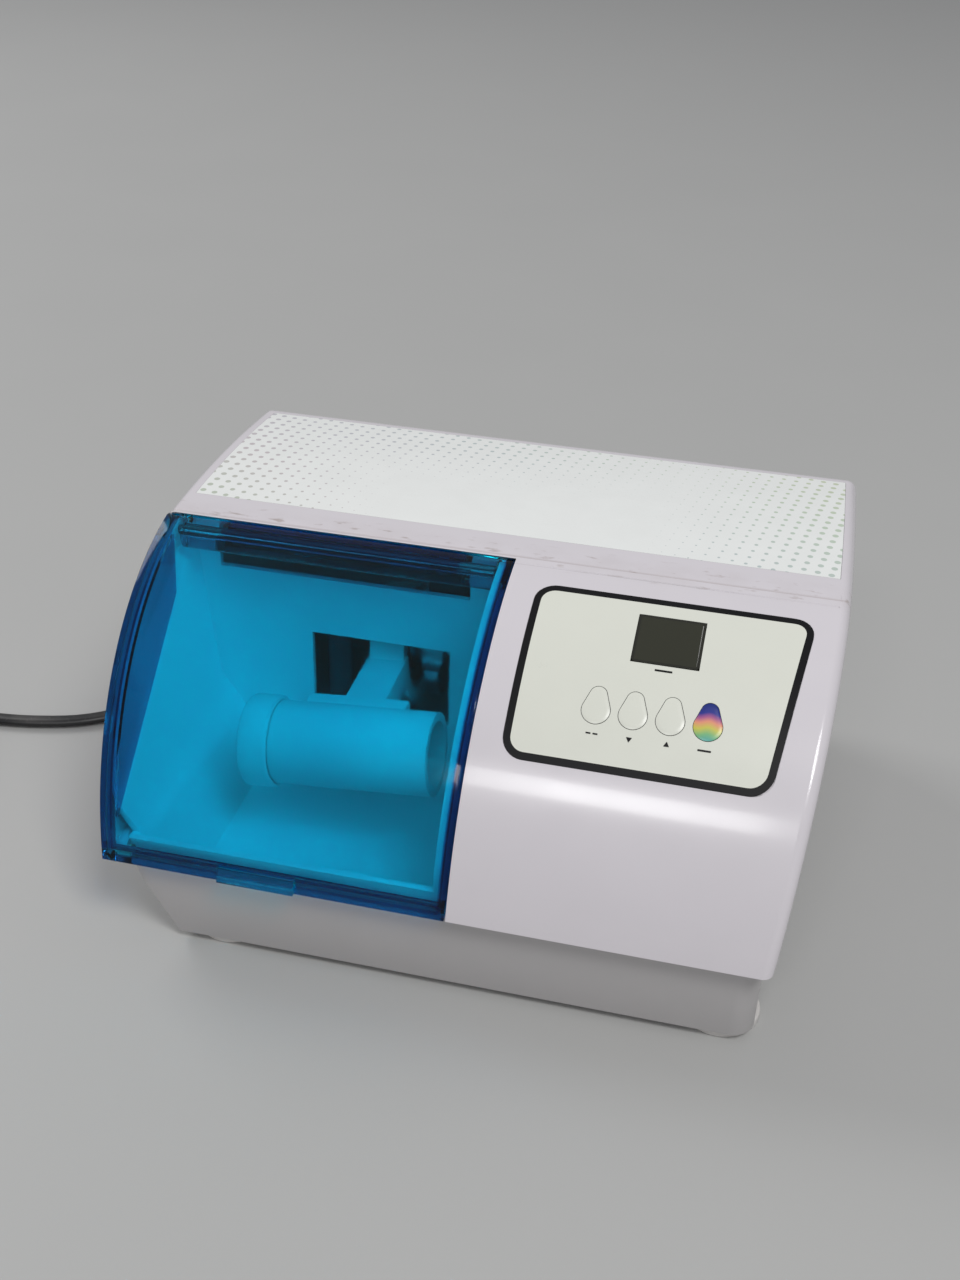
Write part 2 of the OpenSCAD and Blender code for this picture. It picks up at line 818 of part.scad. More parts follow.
module switch_body() color(black) place() difference() {
    union() {
        block([rocker_x - 6.4, body_d - 16, rocker_z - 9.6], [rocker_x + 6.4, body_d + eps, rocker_z + 9.6]);
        block([rocker_x - 7.5, body_d, rocker_z - 10.5], [rocker_x + 7.5, body_d + bezel_t, rocker_z + 10.5]);
    }
    block([rocker_x - rocker_w / 2 - 0.2, body_d - 12, rocker_z - rocker_r - 0.3],
          [rocker_x + rocker_w / 2 + 0.2, body_d + 5, rocker_z + rocker_r + 0.3]);
    rod_x(2 + 2 * run_gap, rocker_x - 6.2, rocker_x + 6.2, body_d - 4, rocker_z);
}

module power_rocker() color(black) place() {
    pivot_y = body_d - 4;
    rod_x(2, rocker_x - 6.1, rocker_x + 6.1, pivot_y, rocker_z);
    along_x(rocker_x - rocker_w / 2, rocker_x + rocker_w / 2)
        translate([pivot_y, rocker_z]) rotate(rocker_tip) intersection() {
            circle(r = rocker_r);
            polygon([[-2, -9], [4.6, -9], [3.9, 0], [4.6, 9], [-2, 9]]);
        }
}

module strain_relief() color(black) place() difference() {
    union() {
        rod_y(15, base_back - wall - 2, base_back - wall, exit_x, exit_z);
        rod_y(11.9, base_back - wall - eps, base_back + eps, exit_x, exit_z);
        translate([exit_x, base_back, exit_z]) rotate([-90, 0, 0])
            cylinder(d1 = 12.5, d2 = 8, h = relief_l);
    }
    block([exit_x - 1, base_back - 20, exit_z - 1], [exit_x + 1, base_back - 4, exit_z + 1]);
}

function unit(v) = v / norm(v);

// Direction of a path at a point
function heading(path, i) =
    i == 0 ? unit(path[1] - path[0]) :
    i == len(path) - 1 ? unit(path[i] - path[i - 1]) :
    unit(path[i + 1] - path[i - 1]);

// Rings of points round a path, lying flat
function tube_points(path, w, t, sides) = [
    for (i = [0:len(path) - 1])
        let (d = heading(path, i), s = unit(cross(d, [0, 0, 1])), u = cross(s, d))
            for (k = [0:sides - 1])
                let (a = 360 * (k + 0.5) / sides)
                    path[i] + s * (w / 2) * cos(a) + u * (t / 2) * sin(a)
];

// Triangles between the rings and across both ends
function tube_faces(rings, sides) = [
    for (i = [0:rings - 2], k = [0:sides - 1])
        let (a = i * sides + k, b = i * sides + (k + 1) % sides)
            each [[a, b, b + sides], [a, b + sides, a + sides]],
    for (k = [1:sides - 2]) [0, k + 1, k],
    for (k = [1:sides - 2])
        let (e = (rings - 1) * sides)
            [e, e + k, e + k + 1]
];

module flat_tube(path, sides) {
    polyhedron(tube_points(path, cord_w, cord_t, sides), tube_faces(len(path), sides), convexity = 8);
}

// Keeps the cord at its outlet when the housing gets deeper
module with_outlet() {
    translate([0, base_back + relief_l - cord_route[0][1], 0]) children();
}

module cord_run() color(black) place() with_outlet() flat_tube(cord_route, 8);

// Radius and height of the coil after a number of turns
half_turns = coil_turns / 2;
function coil_radius(t) = coil_r - coil_pitch * (t < half_turns ? t : coil_turns - t);
function coil_height(t) = cord_z + layer_step * min(1, max(0, (t - half_turns + 0.25) * 2));
function coil_point(t) = [coil_x - coil_radius(t) * sin(360 * t),
                          coil_y + coil_radius(t) * cos(360 * t), coil_height(t)];
coil_rings = coil_turns * loop_rings;
coil_tail = [for (d = [10, 20, 30]) [coil_x - d, coil_y + coil_r, cord_z + layer_step]];
coil_path = concat([[coil_x + 6, coil_y + coil_r, cord_z]], [for (i = [0:coil_rings]) coil_point(i / loop_rings)], coil_tail);

// Least gap between two turns, on the points of their rings
function coil_gap(pts) = min([
    for (i = [0:3:coil_rings - 1], j = [i + 12:coil_rings])
        if (norm(coil_path[i] - coil_path[j]) < cord_w + 4)
            for (a = [0:5], b = [0:5]) norm(pts[i * 6 + a] - pts[j * 6 + b])
]);

module cord_coil() color(black) place() with_outlet() {
    echo(coil_gap_mm = coil_gap(tube_points(coil_path, cord_w, cord_t, 6)));
    flat_tube(coil_path, 6);
}

module cord_tie() color([0.15, 0.15, 0.15]) place() with_outlet()
    translate([coil_x, coil_y, 0]) rotate([0, 0, 205]) {
        tie_in = coil_radius(half_turns) - cord_w / 2 - 0.6;
        tie_out = coil_r + cord_w / 2 + 0.6;
        difference() {
            block([-3, tie_in - 0.8, 0.05], [3, tie_out + 0.8, 9.4]);
            block([-4, tie_in, 0.5], [4, tie_out, 8.8]);
        }
    }

module mains_plug() color(black) place() with_outlet() {
    px = coil_x - 30;
    py = coil_y + coil_r;
    pz = cord_z + layer_step;
    translate([px - 14, py, pz]) rotate([0, 90, 0]) cylinder(d1 = 12, d2 = 8, h = 14);
    intersection() {
        block([px - 40, py - 12, 0.2], [px - 14 + eps, py + 12, 2 * pz]);
        translate([px - 27, py, 0]) linear_extrude(30) round_rect(26, 24, 6);
    }
}

module plug_pins() color(steel) place() with_outlet()
    for (s = [-1, 1])
        translate([coil_x - 30 - 40 - 19, coil_y + coil_r + s * 9.5, cord_z + layer_step])
            rotate([0, 90, 0]) cylinder(d = 4, h = 19);

module motor_shaft() color(steel) place()
    rod_x(shaft_d, ring_x - 9, 103);

module rotor_core() color([0.45, 0.45, 0.47]) place()
    ring_x_at(37, shaft_d + fit, core_x[0] + 1, core_x[1] - 1);

module commutator() color(copper) place()
    ring_x_at(18, shaft_d + fit, 75, 85);

module cooling_fan() color([0.2, 0.2, 0.2]) place() {
    ring_x_at(16, shaft_d + fit, 96, 100.6);
    ring_x_at(48, 15.9, 96, 97.2);
    for (i = [0:7])
        translate([97.2 - eps, shaft_y, shaft_z]) rotate([i * 45, 0, 0])
            translate([0, -0.8, 7.5]) cube([3.4, 1.6, 16]);
}

// Moves a piece to the wobble bearing's centre, with its axis along its own X
module at_ring() {
    translate([ring_x, shaft_y, shaft_z]) rotate([0, -wobble, 0]) children();
}

module ring_about(od, id, x0, x1) {
    difference() {
        translate([x0, 0, 0]) rotate([0, 90, 0]) cylinder(d = od, h = x1 - x0);
        translate([x0 - 1, 0, 0]) rotate([0, 90, 0]) cylinder(d = id, h = x1 - x0 + 2);
    }
}

module wobble_sleeve() color(steel) place() difference() {
    union() {
        at_ring() translate([-race_w / 2, 0, 0]) rotate([0, 90, 0]) cylinder(d = ring_bore - fit, h = race_w + 6);
        rod_x(22, ring_x + 10, ring_x + 18);
        intersection() {
            rod_x(36, ring_x + 13, ring_x + 18);
            block([ring_x, shaft_y - 20, shaft_z - 20], [ring_x + 30, shaft_y + 20, shaft_z]);
        }
    }
    rod_x(shaft_d + fit, ring_x - 30, ring_x + 30);
}

module wobble_inner_ring() color(steel) place() at_ring()
    ring_about(ring_od, ring_bore, -race_w / 2, race_w / 2);

module wobble_outer_ring() color(steel) place() at_ring()
    ring_about(race_od, race_id, -race_w / 2, race_w / 2);

module bearing_balls() color(steel) place() at_ring()
    for (i = [0:9])
        rotate([i * 36, 0, 0]) translate([0, 0, ball_pitch]) sphere(d = ball_d);

module mixing_arm() color([0.6, 0.75, 0.82]) place() at_ring() difference() {
    union() {
        ring_about(eye_od, race_od + fit, -eye_w / 2, eye_w / 2);
        rotate([0, wobble, 0]) difference() {
            translate([0, 0, -seat_drop]) cylinder(d = spring_d + 2, h = 8);
            rotate([0, 90, 0]) cylinder(d = race_od + 3, h = 40, center = true);
        }
        block([-7.5, -arm_l + tube_d / 2 - 3, -5], [7.5, -race_od / 2 - 1.5, 5]);
        block([-18, -arm_l + tube_d / 2 - 4, -9], [18, -arm_l + tube_d / 2 + 3.5, 9]);
    }
    translate([-50, -arm_l, 0]) rotate([0, 90, 0]) cylinder(d = tube_d + fit, h = 100);
    for (x = [-14, 14])
        translate([x, -arm_l, 0]) rotate([-90, 0, 0]) cylinder(d = screw_d + fit, h = tube_d / 2 + 10);
}

module clamp_screws() color(steel) place() at_ring()
    for (x = [-14, 14])
        translate([x, -arm_l + tube_d / 2 - 2.5, 0]) rotate([-90, 0, 0]) {
            cylinder(d = screw_d, h = 6 + eps);
            translate([0, 0, 6]) cylinder(d = 5.6, h = 2);
        }

module holder_tube() color([0.6, 0.75, 0.82]) place() at_ring() translate([0, -arm_l, 0]) difference() {
    union() {
        translate([tube_u[0], 0, 0]) rotate([0, 90, 0]) cylinder(d = neck_d, h = tube_l);
        translate([tube_u[0] + neck_l, 0, 0]) rotate([0, 90, 0]) cylinder(d = tube_d, h = tube_l - neck_l);
    }
    translate([tube_u[0] - 1, 0, 0]) rotate([0, 90, 0]) cylinder(d = tube_bore, h = tube_l + 2);
    for (x = [-14, 14])
        translate([x, 0, 0]) rotate([-90, 0, 0]) cylinder(d = screw_d + fit, h = tube_d);
}

module holder_cap() color([0.6, 0.75, 0.82]) place() at_ring() translate([0, -arm_l, 0]) difference() {
    translate([cap_u[0], 0, 0]) rotate([0, 90, 0]) cylinder(d = cap_d, h = cap_u[1] - cap_u[0]);
    translate([cap_u[0] + 1.6, 0, 0]) rotate([0, 90, 0]) cylinder(d = neck_d + 0.3, h = 20);
}

module cap_liner() color([0.9, 0.9, 0.9]) place() at_ring() translate([0, -arm_l, 0])
    translate([liner_u[0], 0, 0]) rotate([0, 90, 0]) cylinder(d = neck_d - 1, h = liner_u[1] - liner_u[0]);

base_tray();
feet();
foot_screws();
housing_screws();
upper_cover();
top_label();
mixing_chamber();
hinge_pin();
reed_switch();
control_overlay();
lcd_module();
display_board();
tact_switches();
ribbon_cable();
main_board();
standoffs();
transformer();
capacitors();
fuse();
motor_bracket();
rubber_mounts();
motor_end_bells();
stator_core();
stator_windings();
carbon_brushes();
shaft_bearings();
bearing_block();
spring_post();
switch_body();
strain_relief();
cord_run();
cord_coil();
cord_tie();
mains_plug();
plug_pins();
lid();
lid_magnet();
motor_shaft();
rotor_core();
commutator();
cooling_fan();
wobble_sleeve();
wobble_inner_ring();
wobble_outer_ring();
bearing_balls();
mixing_arm();
restraint_spring();
holder_tube();
clamp_screws();
cap_liner();
holder_cap();
color("white") key_node(0);  // key_mode
color("white") key_node(1);  // key_down
color("white") key_node(2);  // key_up
color("orange") key_node(3);  // key_start
power_rocker();
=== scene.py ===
"""A benchtop capsule mixer for a dental surgery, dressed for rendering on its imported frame."""

import json
import logging
import math
from dataclasses import dataclass
from enum import Enum
from typing import Callable, Iterable, Sequence

import bmesh
import bpy
from mathutils import Matrix, Vector


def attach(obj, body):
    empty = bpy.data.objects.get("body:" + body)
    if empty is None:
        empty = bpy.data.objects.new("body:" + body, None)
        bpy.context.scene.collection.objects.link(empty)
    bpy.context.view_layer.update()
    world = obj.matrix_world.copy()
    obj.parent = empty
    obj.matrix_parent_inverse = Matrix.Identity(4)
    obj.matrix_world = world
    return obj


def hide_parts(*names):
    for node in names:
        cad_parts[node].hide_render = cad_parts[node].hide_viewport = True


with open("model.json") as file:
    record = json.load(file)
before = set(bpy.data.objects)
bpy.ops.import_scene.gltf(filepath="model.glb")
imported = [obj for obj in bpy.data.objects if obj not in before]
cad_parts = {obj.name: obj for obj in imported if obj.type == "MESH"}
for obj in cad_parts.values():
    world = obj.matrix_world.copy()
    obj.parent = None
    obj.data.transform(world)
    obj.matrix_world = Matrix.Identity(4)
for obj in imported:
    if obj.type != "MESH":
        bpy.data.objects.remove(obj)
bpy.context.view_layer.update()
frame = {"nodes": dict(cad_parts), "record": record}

LOG = logging.getLogger("capsule_mixer")
MM = 0.001
FAR = 1000.0
BMesh = bmesh.types.BMesh
Socket = bpy.types.NodeSocket
Colour = tuple[float, float, float]
SOCKET_TYPES = {"Vector": "NodeSocketVector", "Colour": "NodeSocketColor"}


# ---------------------------------------------------------------- shared sizes


@dataclass(frozen=True)
class Housing:
    """Sizes of the housing in mm, with Y from its front lower edge and Z from the counter."""

    width: float = 220.0
    depth: float = 198.0
    lower_z: float = 33.0
    flare: float = math.radians(6.0)
    face_r: float = 113.0
    face_cy: float = 109.2154
    face_cz: float = 4.0
    top_r: float = 600.0
    top_cy: float = 130.0
    top_z: float = 117.2
    back_r: float = 11.0
    split_x: float = 7.0
    hinge_y: float = 90.0
    middle_y: float = 98.5898

    @property
    def top_cz(self) -> float:
        """Height of the centre of the top's curve."""
        return self.top_z - self.top_r

    @property
    def corner(self) -> tuple[float, float]:
        """Depth and height of the centre of the rear edge's curve."""
        y = self.depth - self.back_r
        z = self.top_cz + math.sqrt(self.top_r**2 - (y - self.top_cy) ** 2) - self.back_r
        return y, z

    def end_x(self, z: float) -> float:
        """Half width of the housing at a height."""
        return self.width / 2 + (z - self.lower_z) * math.tan(self.flare)

    def point(self, x: float, y: float, z: float) -> Vector:
        """A point in mm from the front edge, as a point of the frame in metres."""
        return Vector((x * MM, (y - self.middle_y) * MM, z * MM))

    def in_mm(self, co: Vector) -> tuple[float, float, float]:
        """A point of the frame, as distances in mm from the middle, the front edge and the counter."""
        return co.x / MM, co.y / MM + self.middle_y, co.z / MM

    def on_face(self, x: float, angle: float) -> Matrix:
        """Placement on the curved face.

        Args:
            x: Distance from the middle of the housing in mm.
            angle: Angle up the face curve in degrees.

        Returns:
            A matrix from mm, with Z out of the face and Y up it, to the frame.
        """
        turn = Matrix.Rotation(math.radians(90 - angle), 4, "X")
        centre = Matrix.Translation(self.point(x, self.face_cy, self.face_cz))
        return centre @ turn @ Matrix.Translation((0, 0, self.face_r * MM)) @ Matrix.Scale(MM, 4)


HOUSING = Housing()


# ---------------------------------------------------------------- node wiring


class Wiring:
    """Adds and joins the nodes of one node tree."""

    def __init__(self, tree: bpy.types.NodeTree) -> None:
        """Keeps the tree that the nodes go in."""
        self.tree = tree

    def node(self, kind: str, **settings: object) -> bpy.types.Node:
        """Adds a node and sets its properties.

        Args:
            kind: The node's type name.
            settings: Property values by name.

        Returns:
            The new node.
        """
        made = self.tree.nodes.new(kind)
        for name, value in settings.items():
            setattr(made, name, value)
        return made

    def feed(self, socket: Socket, value: object) -> None:
        """Puts a constant on a socket, or joins another socket to it."""
        if isinstance(value, Socket):
            self.tree.links.new(value, socket)
        elif socket.type == "RGBA" and not isinstance(value, float) and len(value) == 3:
            socket.default_value = (*value, 1.0)
        else:
            socket.default_value = value

    def math(self, operation: str, *values: object, clamp: bool = False) -> Socket:
        """Adds a Math node.

        Args:
            operation: The node's operation.
            values: Its inputs in order.
            clamp: Whether the result is held between 0 and 1.

        Returns:
            The result socket.
        """
        made = self.node("ShaderNodeMath", operation=operation, use_clamp=clamp)
        for socket, value in zip(made.inputs, values):
            self.feed(socket, value)
        return made.outputs[0]

    def mix(self, factor: object, first: object, second: object) -> Socket:
        """Mixes two colours.

        Args:
            factor: Share of the second colour.
            first: The first colour.
            second: The second colour.

        Returns:
            The mixed colour socket.
        """
        made = self.node("ShaderNodeMix", data_type="RGBA")
        self.feed(made.inputs[0], factor)
        self.feed(made.inputs[6], first)
        self.feed(made.inputs[7], second)
        return made.outputs[2]

    def spread(self, value: object, low: float, high: float,
               to_low: float, to_high: float) -> Socket:
        """Maps a range of values to another one.

        Args:
            value: The value to map.
            low: Start of the range.
            high: End of the range.
            to_low: What the start becomes.
            to_high: What the end becomes.

        Returns:
            The mapped value socket.
        """
        made = self.node("ShaderNodeMapRange", clamp=True)
        for socket, number in zip(made.inputs, (value, low, high, to_low, to_high)):
            self.feed(socket, number)
        return made.outputs[0]

    def ramp(self, value: object, stops: Sequence[tuple[float, Colour]]) -> Socket:
        """Adds a colour ramp.

        Args:
            value: The value that runs along the ramp.
            stops: Positions and colours.

        Returns:
            The colour socket.
        """
        made = self.node("ShaderNodeValToRGB")
        elements = made.color_ramp.elements
        while len(elements) < len(stops):
            elements.new(0.5)
        for element, (position, colour) in zip(elements, stops):
            element.position = position
            element.color = (*colour, 1.0)
        self.feed(made.inputs[0], value)
        return made.outputs[0]

    def fill(self, node: bpy.types.Node, values: dict[str, object]) -> bpy.types.Node:
        """Feeds a node's inputs by name, and gives the node back."""
        for label, value in values.items():
            self.feed(node.inputs[label], value)
        return node

    def noise(self, vector: object, scale: object, detail: float = 2.0) -> Socket:
        """Adds a noise texture and gives its value socket."""
        made = self.node("ShaderNodeTexNoise")
        return self.fill(made, {"Vector": vector, "Scale": scale, "Detail": detail}).outputs[0]

    def split(self, vector: object) -> list[Socket]:
        """Adds a Separate XYZ node and gives its three sockets."""
        return list(self.fill(self.node("ShaderNodeSeparateXYZ"), {"Vector": vector}).outputs)

    def mapped(self, vector: object, label: str, value: Colour) -> Socket:
        """Adds a Mapping node with one setting and gives the mapped vector."""
        made = self.fill(self.node("ShaderNodeMapping"), {"Vector": vector})
        made.inputs[label].default_value = value
        return made.outputs[0]

    def group(self, tree: bpy.types.NodeTree, **values: object) -> bpy.types.bpy_prop_collection:
        """Adds a shared node group, feeds its inputs by name and gives its outputs."""
        return self.fill(self.node("ShaderNodeGroup", node_tree=tree), values).outputs

    def bump(self, height: object, distance: float, strength: float) -> Socket:
        """Adds a Bump node and gives its normal socket."""
        made = self.node("ShaderNodeBump")
        values = {"Height": height, "Distance": distance, "Strength": strength}
        return self.fill(made, values).outputs["Normal"]


class GroupMaker:
    """Builds each shared node group once."""

    made: dict[str, bpy.types.NodeTree] = {}

    @classmethod
    def fetch(cls, name: str, inputs: Sequence[str], outputs: Sequence[str],
              fill: Callable[[Wiring, dict, dict], None]) -> bpy.types.NodeTree:
        """Gives a node group, and builds it if it is the first time.

        Args:
            name: The group's name.
            inputs: Input names. Those not in SOCKET_TYPES are plain values.
            outputs: Output names.
            fill: Function that wires the group.

        Returns:
            The node group.
        """
        if name not in cls.made:
            tree = bpy.data.node_groups.new(name, "ShaderNodeTree")
            for way, labels in (("INPUT", inputs), ("OUTPUT", outputs)):
                for label in labels:
                    kind = SOCKET_TYPES.get(label, "NodeSocketFloat")
                    tree.interface.new_socket(name=label, in_out=way, socket_type=kind)
            wiring = Wiring(tree)
            start = wiring.node("NodeGroupInput")
            end = wiring.node("NodeGroupOutput")
            fill(wiring, {s.name: s for s in start.outputs}, {s.name: s for s in end.inputs})
            cls.made[name] = tree
        return cls.made[name]


def _fill_mould_grain(w: Wiring, given: dict, out: dict) -> None:
    """Wires the slight clouding and fine grain of a moulded surface."""
    cloud = w.noise(given["Vector"], w.math("MULTIPLY", given["Scale"], 0.03))
    grain = w.noise(given["Vector"], given["Scale"])
    cloudy = w.math("SUBTRACT", cloud, 0.5)
    fine = w.math("SUBTRACT", grain, 0.5)
    both = w.math("ADD", w.math("MULTIPLY", cloudy, 1.4), w.math("MULTIPLY", fine, 0.4))
    shade = w.math("ADD", w.math("MULTIPLY", both, given["Variation"]), 1.0)
    scaled = w.node("ShaderNodeVectorMath", operation="SCALE")
    w.feed(scaled.inputs[0], given["Colour"])
    w.feed(scaled.inputs["Scale"], shade)
    w.feed(out["Colour"], scaled.outputs[0])
    change = w.math("MULTIPLY", both, given["Spread"])
    w.feed(out["Roughness"], w.math("ADD", given["Roughness"], change, clamp=True))
    w.feed(out["Height"], grain)


def mould_grain() -> bpy.types.NodeTree:
    """The node group for moulded plastic, rubber, film and plain metal."""
    return GroupMaker.fetch("mould_grain", ("Vector", "Scale", "Colour", "Variation", "Roughness", "Spread"),
                            ("Colour", "Roughness", "Height"), _fill_mould_grain)


def _fill_counter_dust(w: Wiring, given: dict, out: dict) -> None:
    """Wires thin dust and small smears that lie on surfaces facing up."""
    facing = w.node("ShaderNodeNewGeometry")
    up = w.spread(w.split(facing.outputs["Normal"])[2], 0.2, 1.0, 0.0, 1.0)
    patches = w.spread(w.noise(given["Vector"], 38.0, 5.0), 0.48, 0.72, 0.0, 1.0)
    specks = w.spread(w.noise(given["Vector"], 900.0, 2.0), 0.62, 0.75, 0.0, 1.0)
    lies = w.math("ADD", w.math("MULTIPLY", patches, 0.6), w.math("MULTIPLY", specks, 0.5))
    mask = w.math("MULTIPLY", w.math("MULTIPLY", lies, up), given["Amount"], clamp=True)
    w.feed(out["Colour"], w.mix(mask, given["Colour"], (0.62, 0.58, 0.55)))
    matt = w.math("MULTIPLY", mask, 0.4)
    w.feed(out["Roughness"], w.math("ADD", given["Roughness"], matt, clamp=True))


def counter_dust() -> bpy.types.NodeTree:
    """The node group for dust on the outside of the machine."""
    return GroupMaker.fetch("counter_dust", ("Vector", "Colour", "Roughness", "Amount"),
                            ("Colour", "Roughness"), _fill_counter_dust)


# ---------------------------------------------------------------- finishes


class Family(Enum):
    """How a finish gets its pattern."""

    MOULDED = "moulded"
    BRUSHED = "brushed"
    WOUND = "wound"
    BOARD = "board"
    STACKED = "stacked"


class Look:
    """Anything that has a material, which is built once."""

    name: str

    def material(self) -> bpy.types.Material:
        """Gives the material, and builds it the first time."""
        made = bpy.data.materials.get(self.name)
        if made is None:
            made = bpy.data.materials.new(self.name)
            made.use_nodes = True
            self.wire(Wiring(made.node_tree), made.node_tree.nodes["Principled BSDF"])
        return made

    def wire(self, w: Wiring, shader: bpy.types.Node) -> None:
        """Wires the material.

        Args:
            w: The wiring of the material's tree.
            shader: Its Principled shader.
        """
        raise NotImplementedError


@dataclass(frozen=True)
class Finish(Look):
    """One opaque finish: its colour, gloss, grain and dust."""

    name: str
    colour: Colour
    roughness: float = 0.4
    metallic: float = 0.0
    grain: float = 1800.0
    depth: float = 0.01
    variation: float = 0.05
    dust: float = 0.0
    coat: float = 0.0
    specular: float = 0.5
    family: Family = Family.MOULDED

    def wire(self, w: Wiring, shader: bpy.types.Node) -> None:
        """Wires the family's pattern, the grain over it and the dust on top."""
        where = w.node("ShaderNodeTexCoord").outputs["Object"]
        base, height = self.pattern(w, where)
        grain = w.group(mould_grain(), Vector=where, Scale=self.grain, Colour=base, Variation=self.variation,
                        Roughness=self.roughness, Spread=0.08)
        top = grain
        if self.dust > 0:
            top = w.group(counter_dust(), Vector=where, Colour=grain["Colour"], Roughness=grain["Roughness"],
                          Amount=self.dust)
        normal = w.bump(grain["Height"] if height is None else height, self.depth * MM, 0.5)
        w.fill(shader, {
            "Base Color": top["Colour"], "Roughness": top["Roughness"], "Normal": normal,
            "Metallic": self.metallic, "Coat Weight": self.coat, "Coat Roughness": 0.08,
            "Specular IOR Level": self.specular})

    def pattern(self, w: Wiring, where: Socket) -> tuple[object, object]:
        """The colour and height that the family adds under the grain.

        Args:
            w: The wiring of the material's tree.
            where: Object coordinates.

        Returns:
            A colour and a height socket, or the plain colour and None.
        """
        if self.family is Family.MOULDED:
            return self.colour, None
        if self.family is Family.BRUSHED:
            lines = w.noise(w.mapped(where, "Scale", (30.0, 1.0, 1.0)), 160.0)
            return w.mix(lines, tuple(c * 0.86 for c in self.colour), self.colour), lines
        if self.family is Family.BOARD:
            tracks = w.node("ShaderNodeTexBrick")
            w.feed(tracks.inputs["Vector"], where)
            tracks.inputs["Scale"].default_value = 160.0
            tracks.inputs["Mortar Size"].default_value = 0.03
            for label, part in (("Color1", 1.0), ("Color2", 0.85), ("Mortar", 1.5)):
                tracks.inputs[label].default_value = (*(c * part for c in self.colour), 1.0)
            return tracks.outputs["Color"], tracks.outputs["Fac"]
        bands = w.node("ShaderNodeTexWave", wave_type="BANDS", bands_direction="X")
        w.feed(bands.inputs["Vector"], where)
        scale, bend = (220.0, 0.0) if self.family is Family.STACKED else (160.0, 1.2)
        bands.inputs["Scale"].default_value = scale
        bands.inputs["Distortion"].default_value = bend
        dark = tuple(c * 0.55 for c in self.colour)
        return w.mix(bands.outputs["Fac"], dark, self.colour), bands.outputs["Fac"]


@dataclass(frozen=True)
class ClearFinish(Look):
    """A clear moulded plastic, tinted or not."""

    name: str
    tint: Colour
    edge: Colour
    # Paler tint for the finger tab: painted light, in place of light scattered inside it.
    pale: Colour
    roughness: float = 0.04
    refraction: float = 1.3

    def wire(self, w: Wiring, shader: bpy.types.Node) -> None:
        """Wires a plastic that is glassy to the eye and lets tinted light through to what is inside."""
        where = w.node("ShaderNodeTexCoord").outputs["Object"]
        rim = w.node("ShaderNodeAttribute", attribute_name="rim").outputs["Fac"]
        cloud = w.spread(w.noise(where, 30.0, 4.0), 0.3, 0.7, 0.0, 0.12)
        tint = w.mix(w.math("MAXIMUM", rim, cloud), self.tint, self.edge)
        # Painted light: the finger tab, marked -1, takes a paler tint that stands in for light scattered
        # inside it.
        tint = w.mix(w.spread(rim, -1.0, 0.0, 1.0, 0.0), tint, self.pale)
        smears = w.spread(w.noise(where, 45.0, 6.0), 0.45, 0.75, self.roughness, self.roughness + 0.08)
        w.fill(shader, {"Base Color": tint, "Roughness": smears, "IOR": self.refraction,
                        "Transmission Weight": 1.0})
        passing = w.node("ShaderNodeBsdfTransparent")
        w.feed(passing.inputs["Color"], tint)
        both = w.node("ShaderNodeMixShader")
        w.feed(both.inputs[0], w.node("ShaderNodeLightPath").outputs["Is Shadow Ray"])
        w.feed(both.inputs[1], shader.outputs[0])
        w.feed(both.inputs[2], passing.outputs[0])
        w.feed(w.tree.nodes["Material Output"].inputs["Surface"], both.outputs[0])


@dataclass(frozen=True)
class HalftoneFilm(Look):
    """The film on the top: near-white, with small pastel dots that thin out towards the middle."""

    name: str = "halftone_film"
    ground: Colour = (0.86, 0.875, 0.855)
    pitch: float = 4.7
    turn: float = 10.0
    reach: float = 112.0
    ink: float = 0.62
    hues: tuple[Colour, ...] = ((0.30, 0.42, 0.24), (0.42, 0.33, 0.36), (0.36, 0.34, 0.42),
                                (0.32, 0.42, 0.42), (0.36, 0.50, 0.32), (0.42, 0.50, 0.24))

    def wire(self, w: Wiring, shader: bpy.types.Node) -> None:
        """Wires the dots, which grow towards both ends and in a swirl at the rear."""
        where = w.node("ShaderNodeTexCoord").outputs["Object"]
        x, y, _ = w.split(where)
        dots = w.node("ShaderNodeTexVoronoi", voronoi_dimensions="2D")
        w.feed(dots.inputs["Vector"], w.mapped(where, "Rotation", (0.0, 0.0, math.radians(self.turn))))
        dots.inputs["Scale"].default_value = 1000.0 / self.pitch
        dots.inputs["Randomness"].default_value = 0.0
        ends = w.spread(w.math("ABSOLUTE", x), 0.036, self.reach * MM, 0.0, 0.26)
        rear = w.math("ADD", y, w.math("MULTIPLY", x, -0.08))
        swirl = w.math("MULTIPLY", w.spread(rear, 0.034, 0.078, 0.0, 0.20),
                       w.spread(x, -0.01, 0.085, 1.0, 0.3))
        inside = w.math("SUBTRACT", w.math("MAXIMUM", ends, swirl), dots.outputs["Distance"])
        ink = w.math("MULTIPLY", w.spread(inside, 0.0, 0.045, 0.0, 1.0), self.ink)
        across = w.spread(w.math("ADD", x, w.math("MULTIPLY", y, 1.5)), -0.11, 0.24, 0.0, 1.0)
        hue = w.ramp(across, [(0.2 * i, colour) for i, colour in enumerate(self.hues)])
        grain = w.group(mould_grain(), Vector=where, Scale=2600.0, Colour=w.mix(ink, self.ground, hue),
                        Variation=0.03, Roughness=0.28, Spread=0.1)
        w.fill(shader, {"Base Color": grain["Colour"], "Roughness": grain["Roughness"],
                        "Normal": w.bump(grain["Height"], 0.000004, 1.0)})


